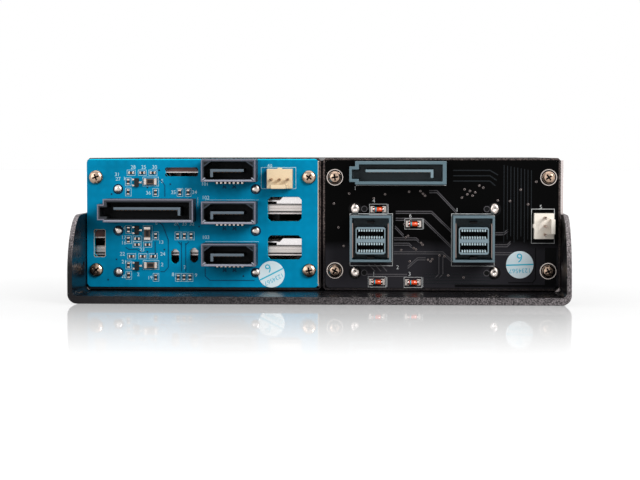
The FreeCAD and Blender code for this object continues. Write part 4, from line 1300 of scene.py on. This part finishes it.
# ---- edges of sheet and board
# Left, right, bottom and top of the slots in the SATA board.
SIDE_SLOT = (65.8, 69.2, 12.35, 20.65)
TOP_SLOT = (37.5, 47.5, 36.75, 39.45)


@drawn("bright_steel", "brown_steel", "edge_steel")
def slot_bands(mesh):
    """Folded sheet behind the SATA board's slots: a brown face over a bright edge."""
    behind = sata_low.y
    for (left, right, _, top), depth in ((TOP_SLOT, 1.2), (SIDE_SLOT, 2.2)):
        x, foot = (left - 0.6, right + 0.6), top - depth
        block(mesh, x, (behind - 0.4, behind + 0.05), (foot, top + 0.5), 0)
        block(mesh, x, (behind - 0.4, behind + 0.1), (foot - 0.4, foot - 0.1), 1)


@drawn("blue_board", "laminate")
def board_side_line(mesh):
    """Bare laminate along the SATA board's edge beside the NVMe board."""
    x, z = (sata_low.x, sata_low.x + 0.2), (sata_low.z + 1.0, sata_high.z - 0.6)
    block(mesh, x, (face_y - 0.4, face_y + 0.02), z)


@drawn("blue_board", "laminate", "shadowed")
def side_slot_edges(mesh):
    """Bare laminate round the SATA board's upright slot, and painted shade in both slots' corners.
    """
    tight, loose = 0.35, 0.95
    for left, right, bottom, top in (SIDE_SLOT, TOP_SLOT):
        outline = []
        for x, z, side, rising in (
            (left, bottom, 1, 1), (left, top, 1, -1), (right, top, -1, -1), (right, bottom, -1, 1)
        ):
            ends = [(x + side * tight, z), (x, z + rising * tight)]
            outline += ends if side == rising else ends[::-1]
            corner = (ends[0], (x + side * loose, z), (x, z + rising * loose), ends[1])
            prism(mesh, corner, (face_y - 0.1, face_y + 0.015), 1)
        if (left, right, bottom, top) == SIDE_SLOT:
            ribbon(mesh, outline + outline[:1], 0.14, (face_y - 0.05, face_y + 0.03))


@drawn("bright_steel", "edge_steel")
def corner_glint_tabs(mesh):
    """Painted glints: bright triangles at the corners of the case's floor, beside the boards' lower
    outer corners.
    """
    for x, side in ((71.9, -1), (-71.3, 1)):
        prism(mesh, ((x, 3.5), (x, 2.1), (x + side * 1.3, 2.2)), (50.4, 51.05))


@drawn("case_steel", "edge_steel")
def case_edge(mesh):
    """Bright strip along the rear edge of the NVMe case's outer wall."""
    block(mesh, (nvme_low.x - 1.5, nvme_low.x - 0.8), (50.6, 51.03), (24.0, 41.6))


# ---- plain numbers beside the parts
# Stands a text up on the rear of a board, so that it reads from behind.
UPRIGHT = Matrix(((-1, 0, 0, 0), (0, 0, 1, 0), (0, 1, 0, 0), (0, 0, 0, 1)))
SATA_NUMBERS = (
    ("28", 57.2, 38.5), ("25", 54.0, 38.5), ("30", 50.7, 38.5), ("27", 61.8, 34.9),
    ("31", 62.1, 36.3), ("1", 59.9, 35.0), ("5", 48.4, 34.3), ("36", 52.6, 30.7),
    ("35", 45.0, 30.9), ("34", 38.6, 30.9), ("101", 35.4, 33.4), ("102", 35.2, 29.3),
    ("103", 35.2, 17.3), ("40", 15.8, 38.9), ("6", 50.2, 21.6), ("17", 60.2, 17.2),
    ("16", 60.2, 15.6), ("14", 60.4, 20.0), ("13", 48.8, 15.8), ("23", 54.6, 13.5),
    ("22", 60.6, 12.2), ("24", 48.3, 12.2), ("2", 48.5, 9.0), ("7", 41.6, 8.2),
    ("8", 45.2, 6.0), ("9", 38.2, 5.8), ("21", 60.1, 9.8), ("20", 60.2, 5.4),
    ("2", 55.8, 6.0), ("19", 52.2, 5.0), ("26", 44.2, 21.4), ("33", 41.7, 21.4),
    ("32", 39.4, 21.4),
)
NVME_NUMBERS = (
    ("4", -15.6, 28.4), ("6", -26.6, 23.9), ("3", -26.4, 6.4), ("1", -15.6, 6.4),
    ("1", -10.0, 32.2), ("2", -22.8, 8.4), ("1", -40.6, 25.6), ("5", -65.6, 26.6),
)


def number(name, text, spot, size, material, turn=0.0, thickness=0.03):
    """Number standing at (X, Y, Z) on the rear of a board, upright when seen from behind."""
    curve = bpy.data.curves.new(name, "FONT")
    curve.body = text
    curve.size = size * MM
    curve.align_x = "CENTER"
    curve.align_y = "CENTER"
    curve.extrude = thickness * MM
    curve.resolution_u = 3
    curve.materials.append(paint[material])
    thing = new_object(name, curve)
    place_of_text = Matrix.Translation(Vector(spot) * MM)
    thing.matrix_world = place_of_text @ UPRIGHT @ Matrix.Rotation(turn, 4, "Z")
    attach(thing, CAGE)


for prefix, numbers, size, material, slot in (
    ("sata_number_", SATA_NUMBERS, 1.55, "print_white", "blue_board"),
    ("nvme_number_", NVME_NUMBERS, 1.7, "print_grey", "black_board"),
):
    for index, (text, x, z) in enumerate(numbers):
        number(f"{prefix}{index + 1}", text, (x, face_y, z + rise), size, material)


# ---- round inspection labels
PAPER = 0.14                 # height of the paper on its board


def label(prefix, x, z, radius, turn):
    """Plain round sticker with a line across it, and a number on each side of the line."""
    top = face_y + PAPER
    middle = Vector((x, z))
    along = Vector((-math.cos(turn), math.sin(turn))) * radius
    up = Vector((math.sin(turn), math.cos(turn))) * radius

    def paper(mesh):
        profile = [(radius, 0.0), (radius, PAPER - 0.03), (radius - 0.04, PAPER)]
        turned(mesh, (x, face_y, z), profile, 64)

    def line(mesh):
        ends = (middle - along * 0.985, middle + along * 0.985)
        ribbon(mesh, ends, 0.42, (top - 0.02, top + 0.02))

    piece(prefix + "_paper", paper, "blue_board", ["label_paper"])
    piece(prefix + "_line", line, "blue_board", ["label_ink"])
    for part, text, spot, size, text_turn in (
        ("_digit", "9", middle + up * 0.46, 0.95, turn),
        ("_serial", "1234567", middle - up * 0.42, 0.46, turn + math.pi),
    ):
        name, corner = prefix + part, (spot.x, top, spot.y)
        number(name, text, corner, radius * size, "label_ink", text_turn, 0.02)


label("sata_label", 15.3, 6.2 + rise, 4.0, math.radians(27))
label("nvme_label", -59.4, 9.3 + rise, 4.1, math.radians(2))


# ---- floor, light and camera, in metres
GLOW_NEAR = 0.52             # floor's brightness beside the cage
GLOW_FRONT = 0.75            # and before its front
GLOW_FAR = 1.0
SHEEN = 0.5                  # share of the mirror image at the cage's foot
FLOOR_HALF = 4.0
FLOOR_DROP = 0.0002          # below the lowest point of the cage
WHITE = (1, 1, 1, 1)
WORLD_LIGHT = 0.38           # world's brightness for light, where the studio itself is 1
LIGHTS_AIM = (0.0, 0.05, 0.02)
CAMERA_LENS = 104.17
CAMERA_PLACE = (-0.0285, 0.608, 0.0435)
CAMERA_AIM = (0.0006, 0.051, 0.0176)


def seen(tree, path):
    """1 for the rays that see the studio itself: from the camera, mirrors and glass."""
    mirrored = larger(tree, path.outputs["Is Camera Ray"], path.outputs["Is Glossy Ray"])
    return larger(tree, mirrored, path.outputs["Is Transmission Ray"])


def backdrop_material():
    """White floor that keeps a soft shadow, with a mirror sheen behind the cage that fades away."""
    material, tree, shader = new_material("studio_floor")
    feed(tree, shader, {
        "Base Color": (0.3, 0.3, 0.3, 1),
        "Roughness": 0.6,
        "Specular IOR Level": 0.1,
    })
    path = add_node(tree, "ShaderNodeLightPath", {})
    inputs = {0: coordinates(tree)}
    distance = add_node(tree, "ShaderNodeVectorMath", inputs, operation="LENGTH")
    around_cage = ranged(tree, distance.outputs["Value"], GLOW_NEAR, GLOW_FAR, 0.095, 0.4)
    before_cage = ranged(tree, place(tree, "Y"), GLOW_FRONT, GLOW_NEAR, -0.06, 0.07)
    strength = product(tree, seen(tree, path), larger(tree, around_cage, before_cage))
    glow = add_node(tree, "ShaderNodeEmission", {"Color": WHITE, "Strength": strength})
    lit = add_node(tree, "ShaderNodeAddShader", {0: shader.outputs[0], 1: glow.outputs[0]})
    gloss = add_node(tree, "ShaderNodeBsdfGlossy", {"Color": WHITE, "Roughness": 0.03})
    near = ranged(tree, place(tree, "Y"), 1.0, 0.0, 0.075, 0.252)
    fade = product(tree, maths(tree, "POWER", near, 1.25), SHEEN)
    fade = product(tree, fade, path.outputs["Is Camera Ray"])
    inputs = {0: fade, 1: lit.outputs[0], 2: gloss.outputs[0]}
    mixed = add_node(tree, "ShaderNodeMixShader", inputs)
    feed(tree, tree.nodes["Material Output"], {"Surface": mixed.outputs[0]})
    return material


floor_mesh = bpy.data.meshes.new("floor")
floor_corners = [(x, y, 0) for x, y in rectangle(FLOOR_HALF, FLOOR_HALF)]
floor_mesh.from_pydata(floor_corners, [], [(0, 1, 2, 3)])
floor_mesh.materials.append(backdrop_material())
floor = new_object("floor", floor_mesh)
floor.location.z = cad_box[0][2] - FLOOR_DROP

world = bpy.data.worlds.new("studio")
bpy.context.scene.world = world
world.use_nodes = True
tree = world.node_tree
tree.nodes.clear()
world_path = add_node(tree, "ShaderNodeLightPath", {})
brightness = ranged(tree, seen(tree, world_path), WORLD_LIGHT, 1.0, 0, 1)
background = add_node(tree, "ShaderNodeBackground", {"Color": WHITE, "Strength": brightness})
add_node(tree, "ShaderNodeOutputWorld", {"Surface": background.outputs[0]})


def aimed(thing, spot, target):
    thing.location = spot
    thing.rotation_euler = (Vector(target) - Vector(spot)).to_track_quat("-Z", "Y").to_euler()


def softbox(name, spot, size, power):
    lamp = bpy.data.lights.new(name, "AREA")
    lamp.shape = "RECTANGLE"
    lamp.size, lamp.size_y = size
    lamp.energy = power
    aimed(new_object(name, lamp), spot, LIGHTS_AIM)


softbox("key", (-0.6, 0.8, 0.5), (0.45, 0.45), 10.0)
softbox("fill", (0.6, 0.8, 0.3), (0.7, 0.6), 3.4)
softbox("top", (0.0, 0.0, 1.0), (1.0, 0.8), 3.0)

camera_data = bpy.data.cameras.new("camera")
camera_data.lens = CAMERA_LENS
camera_data.sensor_width = 36.0
camera_data.clip_start = 0.01
camera = new_object("camera", camera_data)
aimed(camera, CAMERA_PLACE, CAMERA_AIM)
bpy.context.scene.camera = camera
bpy.context.scene.view_settings.view_transform = "Standard"
